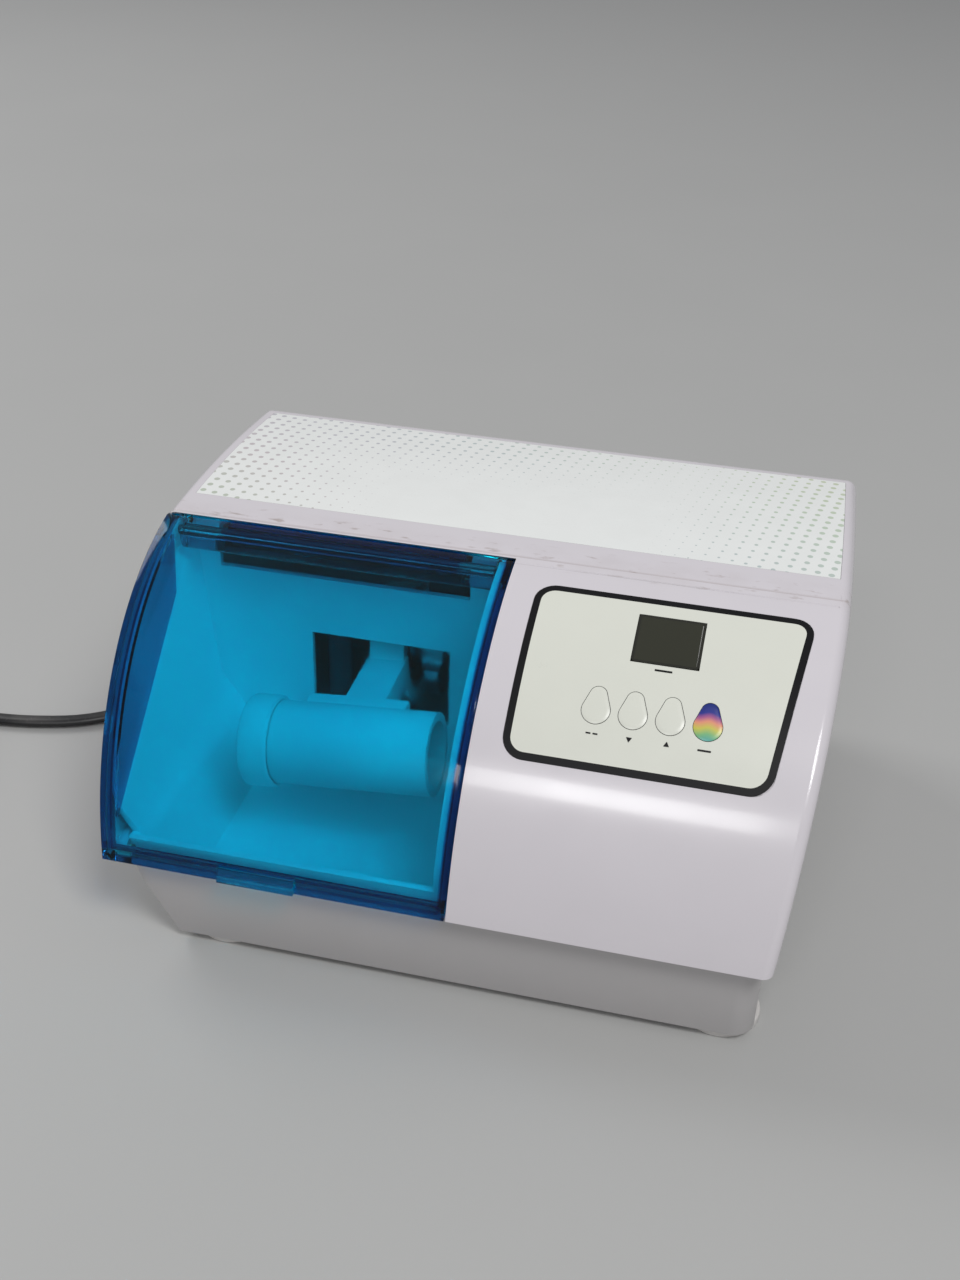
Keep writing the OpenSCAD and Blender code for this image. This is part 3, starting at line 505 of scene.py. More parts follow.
@dataclass(frozen=True)
class StartKeyPrint(Look):
    """The start key's print: bands of colour up its length, over its own UV map."""

    name: str = "start_key_print"
    bands: tuple[tuple[float, Colour], ...] = (
        (0.0, (0.10, 0.42, 0.36)), (0.15, (0.22, 0.50, 0.22)), (0.32, (0.62, 0.58, 0.10)),
        (0.48, (0.80, 0.32, 0.20)), (0.60, (0.42, 0.12, 0.28)), (0.72, (0.03, 0.04, 0.28)),
        (1.0, (0.008, 0.025, 0.17)))

    def wire(self, w: Wiring, shader: bpy.types.Node) -> None:
        """Wires the bands with a slight wave."""
        place = w.node("ShaderNodeUVMap", uv_map="print").outputs[0]
        x, y, _ = w.split(place)
        wave = w.math("MULTIPLY", w.math("SINE", w.math("MULTIPLY", x, 9.0)), 0.035)
        grain = w.group(mould_grain(), Vector=place, Scale=30.0, Variation=0.06, Roughness=0.3, Spread=0.1,
                        Colour=w.ramp(w.math("ADD", y, wave), self.bands))
        w.fill(shader, {"Base Color": grain["Colour"], "Roughness": grain["Roughness"]})


@dataclass(frozen=True)
class GrimeAndShadeFinish(Finish):
    """A finish with grime caught along the seam ahead of the top film, and a thin line of painted shade along
    the ridge groove.
    """

    seam: float = -0.0035
    ridge: float = -0.0054
    width: float = 0.0075
    # Colour of the grime, also used for the painted shade line in the ridge groove.
    grime_and_shade: Colour = (0.34, 0.27, 0.24)

    def pattern(self, w: Wiring, where: Socket) -> tuple[object, object]:
        """Adds specks and a faint band of grime, and a thin line of painted shade in the ridge groove, to the
        plain colour, as in Finish.pattern.
        """
        _, y, z = w.split(where)
        near = w.math("ABSOLUTE", w.math("SUBTRACT", y, self.seam))
        band = w.spread(near, self.width * 0.4, self.width, 1.0, 0.0)
        high = w.spread(z, 0.104, 0.108, 0.0, 1.0)
        stretched = w.mapped(where, "Scale", (0.35, 1.0, 1.0))
        specks = w.spread(w.noise(stretched, 420.0, 4.0), 0.60, 0.72, 0.0, 0.55)
        haze = w.spread(w.noise(where, 60.0, 4.0), 0.4, 0.7, 0.0, 0.14)
        # Painted shade: a thin darker line along the ridge groove, drawn in the grime colour.
        crease = w.math("ABSOLUTE", w.math("SUBTRACT", y, self.ridge))
        line = w.spread(crease, 0.0002, 0.0007, 0.32, 0.0)
        lies = w.math("MAXIMUM", w.math("MULTIPLY", w.math("ADD", specks, haze), band), line)
        mask = w.math("MULTIPLY", lies, high)
        return w.mix(mask, self.colour, self.grime_and_shade), None


COVER = GrimeAndShadeFinish("housing_white", (0.70, 0.665, 0.70), 0.19, grain=1500, depth=0.006, variation=0.03,
                      dust=0.10, coat=0.3)
# The base tray is the same white plastic as the cover. Its colour is darkened to paint the shade that falls on
# it under the cover's overhang.
TRAY = Finish("base_white_painted_shade", (0.46, 0.445, 0.445), 0.34, grain=1500, depth=0.008, variation=0.04, dust=0.15)
TUB = Finish("tub_white", (0.80, 0.81, 0.82), 0.5, grain=1400, depth=0.008, variation=0.03)
TUBE = Finish("holder_white", (0.78, 0.82, 0.83), 0.55, grain=1400, depth=0.006, variation=0.04)
# The third colour is the finger tab's paler tint, painted in place of light scattered inside the tab.
LID = ClearFinish("lid_blue", (0.010, 0.60, 0.75), (0.0, 0.17, 0.38), (0.10, 0.92, 1.0))
FILM = Finish("panel_cream", (0.75, 0.76, 0.68), 0.30, grain=2600, depth=0.004, variation=0.02)
INK = Finish("ink_black", (0.006, 0.006, 0.007), 0.42, grain=2600, depth=0.004, variation=0.2, specular=0.22)
GLASS = Finish("display_glass", (0.033, 0.034, 0.022), 0.14, grain=600, depth=0.001, variation=0.12,
               coat=0.3, specular=0.35)
BEZEL = Finish("display_frame", (0.024, 0.024, 0.018), 0.4, grain=1200, depth=0.003, variation=0.1,
               specular=0.3)
BLACK = Finish("black_plastic", (0.02, 0.02, 0.021), 0.42, grain=1600, depth=0.02, variation=0.2, dust=0.12)
GREY = Finish("grey_plastic", (0.33, 0.33, 0.35), 0.5, grain=1500, depth=0.02, variation=0.1)
FOOT = Finish("clear_rubber", (0.34, 0.32, 0.30), 0.42, grain=700, depth=0.03, variation=0.16, dust=0.3)
CORD = Finish("cord_black", (0.012, 0.012, 0.013), 0.36, grain=900, depth=0.03, variation=0.25, dust=0.15)
RUBBER = Finish("black_rubber", (0.022, 0.022, 0.022), 0.6, grain=1300, depth=0.03, variation=0.2)
STEEL = Finish("plain_steel", (0.56, 0.57, 0.59), 0.3, 1.0, 1200, 0.01, 0.08, family=Family.BRUSHED)
ALLOY = Finish("cast_alloy", (0.50, 0.51, 0.53), 0.48, 1.0, 800, 0.06, 0.1)
PIN = Finish("blackened_steel", (0.16, 0.17, 0.18), 0.5, 0.5, 1200, 0.01, 0.08)
COPPER = Finish("copper_wire", (0.66, 0.28, 0.12), 0.32, 1.0, 900, 0.2, 0.1, family=Family.WOUND)
LAMINATE = Finish("core_laminations", (0.10, 0.10, 0.11), 0.45, 0.6, 900, 0.1, 0.1, family=Family.STACKED)
BOARD = Finish("solder_mask", (0.02, 0.12, 0.05), 0.35, grain=900, depth=0.03, variation=0.1,
               family=Family.BOARD)
FLOOR = Finish("floor_pale", (0.46, 0.46, 0.45), 0.55, grain=300, depth=0.02, variation=0.02)
CAN = Finish("capacitor_sleeve", (0.03, 0.05, 0.16), 0.3, grain=1200, depth=0.01, variation=0.1)
BY_SLOT: dict[str, Finish] = {
    "cover_plastic": COVER, "tub_plastic": TUB, "tube_plastic": TUBE, "clear_rubber": FOOT, "overlay": FILM,
    "lcd": GLASS, "circuit_board": BOARD, "black_plastic": BLACK, "grey_plastic": GREY, "can": CAN,
    "laminate": LAMINATE, "copper": COPPER, "steel": STEEL, "cast_alloy": ALLOY, "rubber": RUBBER,
}


# ---------------------------------------------------------------- mesh tools


def merged_copy(node: str) -> BMesh:
    """A bmesh copy of a CAD node, merged and with its flat faces joined.

    Args:
        node: Name of the CAD node.

    Returns:
        The copy, in metres.
    """
    bm = bmesh.new()
    bm.from_mesh(frame["nodes"][node].data)
    bmesh.ops.remove_doubles(bm, verts=bm.verts, dist=2e-6)
    bmesh.ops.dissolve_limit(bm, angle_limit=math.radians(0.4), verts=bm.verts, edges=bm.edges)
    return bm


def rounded(bm: BMesh, geom: Sequence, width: float, segments: int,
            affect: str = "EDGES", clamp: bool = False) -> None:
    """Rounds edges or corners of a mesh.

    Args:
        bm: The mesh.
        geom: The edges, or the vertices.
        width: Width of the rounding in the mesh's own unit.
        segments: Number of steps across it.
        affect: "EDGES" or "VERTICES".
        clamp: Whether roundings that would meet are made smaller.
    """
    bmesh.ops.bevel(bm, geom=geom, offset=width, offset_type="OFFSET", segments=segments, profile=0.5,
                    affect=affect, clamp_overlap=clamp, material=-1)


def inset(bm: BMesh, faces: Sequence, width: float, depth: float = 0.0, border: bool = False) -> None:
    """Draws faces in by a width and moves what is left by a depth.

    Args:
        bm: The mesh.
        faces: The faces.
        width: How far they are drawn in, in the mesh's own unit.
        depth: How far the inner part rises.
        border: Whether the open border of the mesh is drawn in as well.
    """
    bmesh.ops.inset_region(bm, faces=faces, thickness=width, depth=depth, use_even_offset=True,
                           use_boundary=border)


def cut(bm: BMesh, at: Vector, way: Vector, faces: Iterable | None = None,
        near: float = 1e-7) -> None:
    """Cuts a mesh along a plane and keeps both sides.

    Args:
        bm: The mesh.
        at: A point of the plane.
        way: The plane's normal.
        faces: The faces to cut, where only some are.
        near: How close a point counts as on the plane.
    """
    picked = list(bm.faces if faces is None else faces)
    geom = picked + [part for f in picked for part in (*f.edges, *f.verts)]
    bmesh.ops.bisect_plane(bm, geom=list(dict.fromkeys(geom)), dist=near, plane_co=at, plane_no=way)


def extruded(bm: BMesh, faces: Sequence, by: tuple[float, float, float]) -> None:
    """Extrudes faces by a step and closes the sides."""
    grown = bmesh.ops.extrude_face_region(bm, geom=faces)["geom"]
    bmesh.ops.translate(bm, vec=by, verts=[g for g in grown if isinstance(g, bmesh.types.BMVert)])


def slab(bm: BMesh, thick: float, drop: float) -> None:
    """Makes a flat mesh into a closed slab.

    Args:
        bm: The mesh.
        thick: How thick it becomes.
        drop: How far its underside lies under the old mesh.
    """
    extruded(bm, bm.faces[:], (0, 0, thick))
    bmesh.ops.translate(bm, vec=(0, 0, -drop), verts=bm.verts)
    outward(bm)


def rounded_plate(width: float, height: float, corner: float, segments: int,
                  lean: float = 0.0) -> BMesh:
    """A flat plate with rounded corners, as one face about the origin.

    Args:
        width: Width in mm.
        height: Height in mm.
        corner: Radius of its corners in mm.
        segments: Steps round a corner.
        lean: How much further the upper right corner lies.

    Returns:
        The mesh.
    """
    bm = bmesh.new()
    w, h = width / 2, height / 2
    corners = [bm.verts.new(p) for p in ((-w, -h, 0), (w, -h, 0), (w + lean, h, 0), (-w, h, 0))]
    bm.faces.new(corners)
    rounded(bm, corners, corner, segments, affect="VERTICES")
    return bm


def soften(bm: BMesh, width: float, segments: int = 2, over: float = 38.0) -> None:
    """Rounds the sharp edges of a mesh.

    Args:
        bm: The mesh.
        width: Width of the rounding in mm.
        segments: Number of steps across it.
        over: Least angle between two faces in degrees.
    """
    limit = math.radians(over)
    picked = [e for e in bm.edges if len(e.link_faces) == 2 and e.calc_face_angle(0.0) > limit]
    rounded(bm, picked, width * MM, segments, clamp=True)


def placed(name: str, data: bpy.types.ID) -> bpy.types.Object:
    """Makes an object of a mesh, lamp or camera and puts it in the scene."""
    made = bpy.data.objects.new(name, data)
    bpy.context.scene.collection.objects.link(made)
    return made


def settle(bm: BMesh, name: str, body: str, finishes: Sequence[Look],
           stands_for: Iterable[str] = (), crease: float = 34.0) -> bpy.types.Object:
    """Makes a finished piece of a bmesh.

    Args:
        bm: The mesh, in metres in the frame. It is freed.
        name: The piece's name.
        body: The CAD body it rides on.
        finishes: Its finishes, by material index.
        stands_for: CAD nodes that it replaces.
        crease: Angle in degrees over which an edge stays sharp.

    Returns:
        The new object.
    """
    mesh = bpy.data.meshes.new(name)
    bm.to_mesh(mesh)
    bm.free()
    mesh.shade_smooth()
    mesh.set_sharp_from_angle(angle=math.radians(crease))
    piece = placed(name, mesh)
    for finish in finishes:
        mesh.materials.append(finish.material())
    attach(piece, body)
    if stands_for:
        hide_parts(*stands_for)
    LOG.info("%s: %d faces on %s", name, len(mesh.polygons), body)
    return piece


def outward(bm: BMesh) -> None:
    """Merges a new shell's doubles and points its faces outwards."""
    bmesh.ops.remove_doubles(bm, verts=bm.verts, dist=1e-7)
    bmesh.ops.recalc_face_normals(bm, faces=bm.faces)


def softened_node(node: str, body: str, finish: Look, width: float,
                  segments: int = 3) -> bpy.types.Object:
    """Replaces a CAD node by a copy with rounded edges.

    Args:
        node: Name of the CAD node.
        body: The body it rides on.
        finish: Its finish.
        width: Width of the rounding in mm.
        segments: Steps across the rounding.

    Returns:
        The new piece.
    """
    bm = merged_copy(node)
    soften(bm, width, segments)
    return settle(bm, node + "_shaped", body, [finish], [node])


def spun(profile: Sequence[tuple[float, float]], matrix: Matrix, steps: int = 48) -> BMesh:
    """Spins an outline about the Z axis of a placement.

    Args:
        profile: Radius and height of each point, from the axis or closed by the caller.
        matrix: Placement of the finished shape.
        steps: Steps round the axis.

    Returns:
        The spun mesh.
    """
    bm = bmesh.new()
    verts = [bm.verts.new((r, 0.0, z)) for r, z in profile]
    edges = [bm.edges.new(pair) for pair in zip(verts, verts[1:])]
    bmesh.ops.spin(bm, geom=verts + edges, cent=(0, 0, 0), axis=(0, 0, 1), angle=2 * math.pi, steps=steps,
                   use_merge=True, use_normal_flip=False, use_duplicate=False)
    outward(bm)
    bmesh.ops.transform(bm, matrix=matrix, verts=bm.verts)
    return bm


# ---------------------------------------------------------------- sub-assemblies


@dataclass
class CoverShell:
    """The upper cover, with rounded end edges, the seam in line with the lid and a low line behind it."""

    edge_round: float = 3.8
    rear_round: float = 2.4
    steps: int = 7
    seam_depth: float = 0.8
    seam_half: float = 0.45
    seam_ahead: float = 0.4
    ridge_y: float = 93.2
    ridge_depth: float = 0.45
    ridge_half: float = 0.6
    face_end: float = 112.0
    top_start: float = 100.0
    close: float = 0.07
    along: float = 0.93

    def build(self) -> bpy.types.Object:
        """Builds the cover in place of the CAD one."""
        bm = merged_copy("upper_cover")
        self.facing = bm.verts.layers.float_vector.new("facing")
        self.mark_skin(bm)
        self.round_end(bm, 1, self.edge_round)
        self.round_end(bm, -1, self.rear_round)
        seam = HOUSING.hinge_y - self.seam_ahead
        self.groove(bm, seam, self.seam_half, self.seam_depth, HOUSING.split_x)
        self.groove(bm, self.ridge_y, self.ridge_half, self.ridge_depth, -FAR)
        piece = settle(bm, "cover_shell", "housing", [COVER], ["upper_cover"], crease=25.0)
        self.smooth_skin(piece.data)
        return piece

    def mark_skin(self, bm: BMesh) -> None:
        """Keeps the true direction of the outer skin at each of its points that has none yet."""
        for vert in bm.verts:
            way = self.inward(vert.co)
            if way is not None and vert[self.facing].length < 0.5:
                vert[self.facing] = -way

    def smooth_skin(self, mesh: bpy.types.Mesh) -> None:
        """Shades the skin by its true curve, wherever a face lies along it."""
        facing = mesh.attributes["facing"].data
        chosen = [Vector(c.vector) for c in mesh.corner_normals]
        for polygon in mesh.polygons:
            for corner in polygon.loop_indices:
                true = Vector(facing[mesh.loops[corner].vertex_index].vector)
                if true.length > 0.5 and true.normalized().dot(polygon.normal) > self.along:
                    chosen[corner] = true.normalized()
        mesh.normals_split_custom_set([tuple(n) for n in chosen])

    def inward(self, co: Vector) -> Vector | None:
        """The direction into the wall at a point of the outer skin.

        Args:
            co: A point of the frame in metres.

        Returns:
            The direction, or None away from the skin.
        """
        h = HOUSING
        _, y, z = h.in_mm(co)
        corner_y, corner_z = h.corner
        found: list[Vector] = []
        for there, middle_y, middle_z, radius in (
                (y < self.face_end, h.face_cy, h.face_cz, h.face_r),
                (z > self.top_start, h.top_cy, h.top_cz, h.top_r),
                (y > corner_y - 0.01 and z > corner_z - 0.01, corner_y, corner_z, h.back_r)):
            if there and abs(math.hypot(y - middle_y, z - middle_z) - radius) < self.close:
                found.append(Vector((0.0, middle_y - y, middle_z - z)).normalized())
        if z < corner_z + 0.01 and abs(y - h.depth) < self.close:
            found.append(Vector((0.0, -1.0, 0.0)))
        return sum(found, Vector()).normalized() if found else None

    def round_end(self, bm: BMesh, side: int, radius: float) -> None:
        """Rounds the edge between an end wall and the outer skin.

        Args:
            bm: The cover's mesh.
            side: 1 for the right end, -1 for the left.
            radius: Radius of the rounding in mm.
        """
        slope = math.tan(HOUSING.flare)
        normal = Vector((side, 0.0, -slope)).normalized()
        for i in range(1, self.steps + 1):
            within = radius * (1 - math.sin(math.pi / 2 * (1 - i / self.steps)))
            x = HOUSING.width / 2 - within / math.cos(HOUSING.flare)
            at = HOUSING.point(side * x, 0, HOUSING.lower_z)
            cut(bm, at, normal)
        at = HOUSING.point(side * HOUSING.width / 2, 0, HOUSING.lower_z)
        self.mark_skin(bm)
        for vert in bm.verts:
            within = -(vert.co - at).dot(normal) / MM
            if not -0.05 < within < radius:
                continue
            way = self.inward(vert.co)
            if way is None:
                continue
            lean = min(1.0, (radius - max(within, 0.0)) / radius)
            rest = math.sqrt(1 - lean * lean)
            sink = radius * (1 - rest) * MM
            vert[self.facing] = vert[self.facing] * rest + normal * lean
            if vert.co.z > (HOUSING.lower_z + 0.05) * MM:
                vert.co += way * sink
            elif way.y > 0:
                level = HOUSING.lower_z - HOUSING.face_cz
                reach = math.sqrt((HOUSING.face_r - sink / MM) ** 2 - level**2)
                vert.co.y = (HOUSING.face_cy - reach - HOUSING.middle_y) * MM
            else:
                vert.co.y -= sink

    def groove(self, bm: BMesh, y: float, half: float, depth: float, start: float) -> None:
        """Cuts a shallow groove across the skin.

        Args:
            bm: The cover's mesh.
            y: Depth of its middle line in mm.
            half: Half its width in mm.
            depth: Its depth in mm.
            start: Where its left end is, in mm from the middle.
        """
        across = Vector((0.0, 1.0, 0.0))
        for part in (-half, 0.0, half):
            skin = [f for f in bm.faces if all(self.inward(v.co) for v in f.verts)
                    and f.calc_center_median().x > start * MM]
            cut(bm, HOUSING.point(0, y + part, 0), across, skin)
        line = HOUSING.point(0, y, 0)
        for vert in bm.verts:
            if abs((vert.co - line).dot(across)) < 2e-6 and vert.co.x > (start + 0.1) * MM:
                way = self.inward(vert.co)
                if way is not None:
                    vert.co += way * depth * MM


@dataclass
class LidAssembly:
    """The clear blue lid with its deep rims, left cheek, finger tab and rear flange."""

    edge: float = 0.5
    rim_band: float = 2.6
    # The darker tint at the left end reaches past the rim itself. The extra width is painted shade over the
    # shaded strip between the rim and the tub's left wall.
    left_rim_and_shade_band: float = 4.1
    hinge_z: float = 109.26
    hinge_r: float = 6.15
    flange_x: tuple[float, float] = (-98.0, -12.0)
    cheek_x: tuple[float, float] = (4.2, 5.2)
    cheek_r: float = 110.35
    cheek_back: float = 82.5
    cheek_steps: int = 27
    blend: float = 0.3
    barrel: tuple[float, float] = (3.0, 117.0)
    barrel_shade: float = 0.25
    front: float = 20.0
    flange_top: float = 108.0

    def build(self) -> bpy.types.Object:
        """Builds the lid in place of the CAD one, and marks its rims, with a band of painted shade just inside
        the left rim, for the darker tint.
        """
        bm = merged_copy("lid")
        soften(bm, self.edge, 2, 40.0)
        h = HOUSING
        lean = Vector((-1.0, 0.0, -math.tan(h.flare))).normalized()
        for more in (0.0, self.blend):
            left = (self.left_rim_and_shade_band + more) / math.cos(h.flare)
            for at, way in ((h.point(h.split_x - 0.5 - self.rim_band - more, 0, 0), Vector((1, 0, 0))),
                            (h.point(-h.end_x(h.lower_z) + left, 0, h.lower_z), lean),
                            (h.point(0, 0, h.lower_z + self.rim_band + more), Vector((0, 0, 1)))):
                cut(bm, at, way)
        for x in (self.flange_x[0] - 0.2, self.flange_x[0], self.flange_x[1], self.flange_x[1] + 0.2):
            cut(bm, h.point(x, 0, 0), Vector((1, 0, 0)))
        self.cheek(bm)
        shade = bm.verts.layers.float.new("rim")
        for vert in bm.verts:
            vert[shade] = self.rim_shade(vert.co)
        return settle(bm, "lid_shell", "lid", [LID], ["lid"], crease=30.0)

    def cheek(self, bm: BMesh) -> None:
        """Adds the thin wall that hangs from the skin along the tub's left side.

        Args:
            bm: The lid's mesh.
        """
        h, bay = HOUSING, MixingBay()
        (fy, fz), (by, bz) = bay.ledge_front, bay.ledge_back
        slope = (bz - fz) / (by - fy)
        start = fy + 1.0
        outline = [(by + 0.2, bz + 0.55), (fy + 1.2, fz + 1.2 * slope + 0.4)]
        for i in range(self.cheek_steps + 1):
            y = start + i * (self.cheek_back - start) / self.cheek_steps
            outline.append((y, h.face_cz + math.sqrt(self.cheek_r**2 - (h.face_cy - y) ** 2)))
        verts = [bm.verts.new(h.point(self.cheek_x[1] - h.end_x(z), y, z)) for y, z in outline]
        extruded(bm, [bm.faces.new(verts)], ((self.cheek_x[0] - self.cheek_x[1]) * MM, 0, 0))
        outward(bm)

    def rim_shade(self, co: Vector) -> float:
        """How dark the plastic looks at a point.

        Args:
            co: A point of the lid in metres.

        Returns:
            1 in the rims and in the painted-shade band inside the left rim, 0 in the window and -1 on the
            finger tab, whose paler tint is painted light.
        """
        h = HOUSING
        x, y, z = h.in_mm(co)
        # The finger tab gets the paler tint, which is painted light in place of light scattered inside it.
        if y < -0.3:
            return -1.0
        from_left = x + h.end_x(z)
        in_barrel = math.hypot(y - h.hinge_y, z - self.hinge_z) < self.hinge_r
        if in_barrel and self.barrel[0] < from_left < self.barrel[1]:
            return 1.0 if self.flange_x[0] - 0.1 < x < self.flange_x[1] + 0.1 else self.barrel_shade
        # Painted shade: at the left end the darker tint reaches past the rim, over the shaded strip between
        # the rim and the tub's left wall.
        left = from_left * math.cos(h.flare) - self.left_rim_and_shade_band + self.rim_band
        if math.hypot(y - h.face_cy, z - h.face_cz) < self.cheek_r + 0.05 and left > 0.9:
            left = FAR
        inside = min(h.split_x - 0.5 - x, left, z - h.lower_z if y < self.front else FAR)
        behind = y > h.hinge_y + 5 and z < self.flange_top
        return 1.0 if behind or inside < self.rim_band + 0.1 else 0.0


@dataclass
class MixingBay:
    """What shows behind the lid: tub, hinge pin, arm and the capsule holder with its screw cap."""

    wall_x: float = 5.5
    outer_x: float = 3.0
    ease: float = 0.35
    ledge: float = 1.6
    ledge_front: tuple[float, float] = (6.5, 44.5)
    ledge_back: tuple[float, float] = (76.0, 91.5)

    def build(self) -> None:
        """Builds each piece with rounded edges."""
        bm = merged_copy("mixing_chamber")
        self.step_wall(bm)
        soften(bm, 0.4, 2)
        settle(bm, "mixing_tub", "housing", [TUB], ["mixing_chamber"])
        softened_node("hinge_pin", "housing", PIN, 0.3, 2)
        softened_node("mixing_arm", "arm", TUBE, 0.6)
        softened_node("holder_tube", "arm", TUBE, 1.2)
        softened_node("holder_cap", "cap", TUBE, 1.2)

    def step_wall(self, bm: BMesh) -> None:
        """Thins the left wall above a slanting line, which leaves a narrow ledge.

        Args:
            bm: The tub's mesh.
        """
        (fy, fz), (by, bz) = self.ledge_front, self.ledge_back
        up = Vector((0.0, fz - bz, by - fy)).normalized()
        for lift in (0.0, 0.08):
            wall = [f for f in bm.faces if all(self.on_wall(v.co) for v in f.verts)]
            cut(bm, HOUSING.point(0, fy, fz) + up * lift * MM, up, wall)
        line = HOUSING.point(0, fy, fz)
        for vert in bm.verts:
            if self.on_wall(vert.co) and (vert.co - line).dot(up) > 0.04 * MM:
                vert.co.x -= self.ledge * MM
            elif self.near_hinge(vert.co):
                vert.co.x += self.ease * MM

    def on_wall(self, co: Vector) -> bool:
        """Whether a point lies on the inner side of the tub's left wall."""
        x, _, z = HOUSING.in_mm(co)
        return z > 40 and abs(x + HOUSING.end_x(z) - self.wall_x) < 0.06

    def near_hinge(self, co: Vector) -> bool:
        """Whether a point lies on the outer side of that wall, where the open lid's rim comes close."""
        x, y, z = HOUSING.in_mm(co)
        return y > 75 and z > 100 and abs(x + HOUSING.end_x(z) - self.outer_x) < 0.06


@dataclass
class ControlPanel:
    """The printed membrane on the face, with its border, display window, four keys and plain marks."""

    width: float = 84.0
    height: float = 63.5
    lean: float = 7.5
    corner: float = 7.0
    middle_x: float = 59.0
    angle: float = 59.3
    border: float = 2.3
    key_angle: float = 53.5
    key_x: float = 44.3
    key_pitch: float = 11.7
    key_gap: float = 0.2
    key_ends: tuple[tuple[float, float], tuple[float, float]] = ((-1.4, 4.5), (3.9, 2.7))
    display_x: float = 63.0
    display_angle: float = 67.0
    display: tuple[float, float] = (22.0, 19.0)
    display_gap: float = 0.15
    row_height: float = 2.5
    film: float = 0.5
    sunk: float = 0.4
    ring: float = 0.5
    bubble: tuple[tuple[float, float], ...] = ((0.5, 0.16), (0.9, 0.06))
    bubble_thick: float = 0.54
    stem_r: float = 1.5
    stem_length: float = 7.76
    stem_middle: float = -4.02
    print_low: float = 5.9
    print_size: tuple[float, float] = (9.8, 12.5)
    mark_z: float = 0.13
    mark_thick: float = 0.06

    def bend(self, bm: BMesh, x: float, angle: float) -> None:
        """Bends a mesh drawn flat in mm onto the face curve and places it.

        Args:
            bm: The mesh, with Z as the height over the surface.
            x: Distance of its middle from the housing's middle in mm.
            angle: Angle of its middle on the face in degrees.
        """
        for vert in bm.verts:
            r = HOUSING.face_r + vert.co.z
            vert.co.z = math.sqrt(r * r - vert.co.y**2) - HOUSING.face_r
        bmesh.ops.transform(bm, matrix=HOUSING.on_face(x, angle), verts=bm.verts)

    def build(self) -> None:
        """Builds the membrane, the display pane, the keys and the marks."""
        self.membrane()
        self.display_pane()
        for i, body in enumerate(("key_mode", "key_down", "key_up", "key_start")):
            self.key(i, body)
        self.marks()

    def membrane(self) -> None:
        """The film with its black border and the window for the display."""
        bm = rounded_plate(self.width, self.height, self.corner, 8, self.lean)
        inset(bm, bm.faces[:], self.border, border=True)
        for face in bm.faces:
            face.material_index = 1
        inner = max(bm.faces, key=lambda f: len(f.verts))
        edges = list(inner.edges)
        bmesh.ops.delete(bm, geom=[inner], context="FACES_ONLY")
        dw, dh = self.display[0] / 2, self.display[1] / 2
        holes = [[(self.display_x + x, self.display_angle, y)
                  for x, y in ((-dw, -dh), (dw, -dh), (dw, dh), (-dw, dh))]]
        for i in range(4):
            middle = self.key_x + i * self.key_pitch
            holes.append([(middle + x, self.key_angle, y) for x, y in self.pear(self.key_gap)])
        for hole in holes:
            verts = [bm.verts.new((x - self.middle_x, self.level(angle, y), 0)) for x, angle, y in hole]
            edges += [bm.edges.new(pair) for pair in zip(verts, verts[1:] + verts[:1])]
        bmesh.ops.triangle_fill(bm, use_beauty=True, use_dissolve=False, edges=edges, normal=(0, 0, 1))
        rows = int(self.height / self.row_height)
        for i in range(1, rows):
            at = (0, -self.height / 2 + i * self.height / rows, 0)
            cut(bm, at, (0, 1, 0), near=1e-5)
        slab(bm, self.film, self.sunk)
        self.bend(bm, self.middle_x, self.angle)
        settle(bm, "panel_membrane", "housing", [FILM, INK], ["control_overlay"], crease=30.0)

    def level(self, angle: float, y: float) -> float:
        """Height in the membrane's flat outline of a point placed about another angle on the face.

        Args:
            angle: The other angle in degrees.
            y: The point's height about that angle in mm.

        Returns:
            Its height about the membrane's middle in mm.
        """
        turned = math.radians(angle - self.angle) + math.asin(y / HOUSING.face_r)
        return HOUSING.face_r * math.sin(turned)

    def pear(self, grow: float = 0.0) -> list[tuple[float, float]]:
        """The outline of a key: a wide round end below a narrow one.

        Args:
            grow: How far outside the key's edge the outline runs, in mm.

        Returns:
            Points in mm about the key's middle.
        """
        (low, wide), (high, narrow) = self.key_ends
        tilt = (wide - narrow) / (high - low)
        points = []
        for i in range(48):
            c, s = math.cos(math.tau * i / 48), math.sin(math.tau * i / 48)
            middle, r = (high, narrow) if s > tilt else (low, wide)
            points.append((c * (r + grow), middle + s * (r + grow)))
        return points

    def display_pane(self) -> None:
        """The dark pane in the window, with a paler frame round it."""
        wide, high = (size - 2 * self.display_gap for size in self.display)
        bm = rounded_plate(wide, high, 1.3, 5)
        inset(bm, bm.faces[:], 0.8, border=True)
        for face in bm.faces:
            face.material_index = 1 if len(face.verts) <= 4 else 0
        inset(bm, [f for f in bm.faces if len(f.verts) > 4], 0.2, -0.15)
        slab(bm, 0.9, 1.0)
        bmesh.ops.transform(bm, matrix=HOUSING.on_face(self.display_x, self.display_angle), verts=bm.verts)
        settle(bm, "display_pane", "housing", [GLASS, BEZEL])

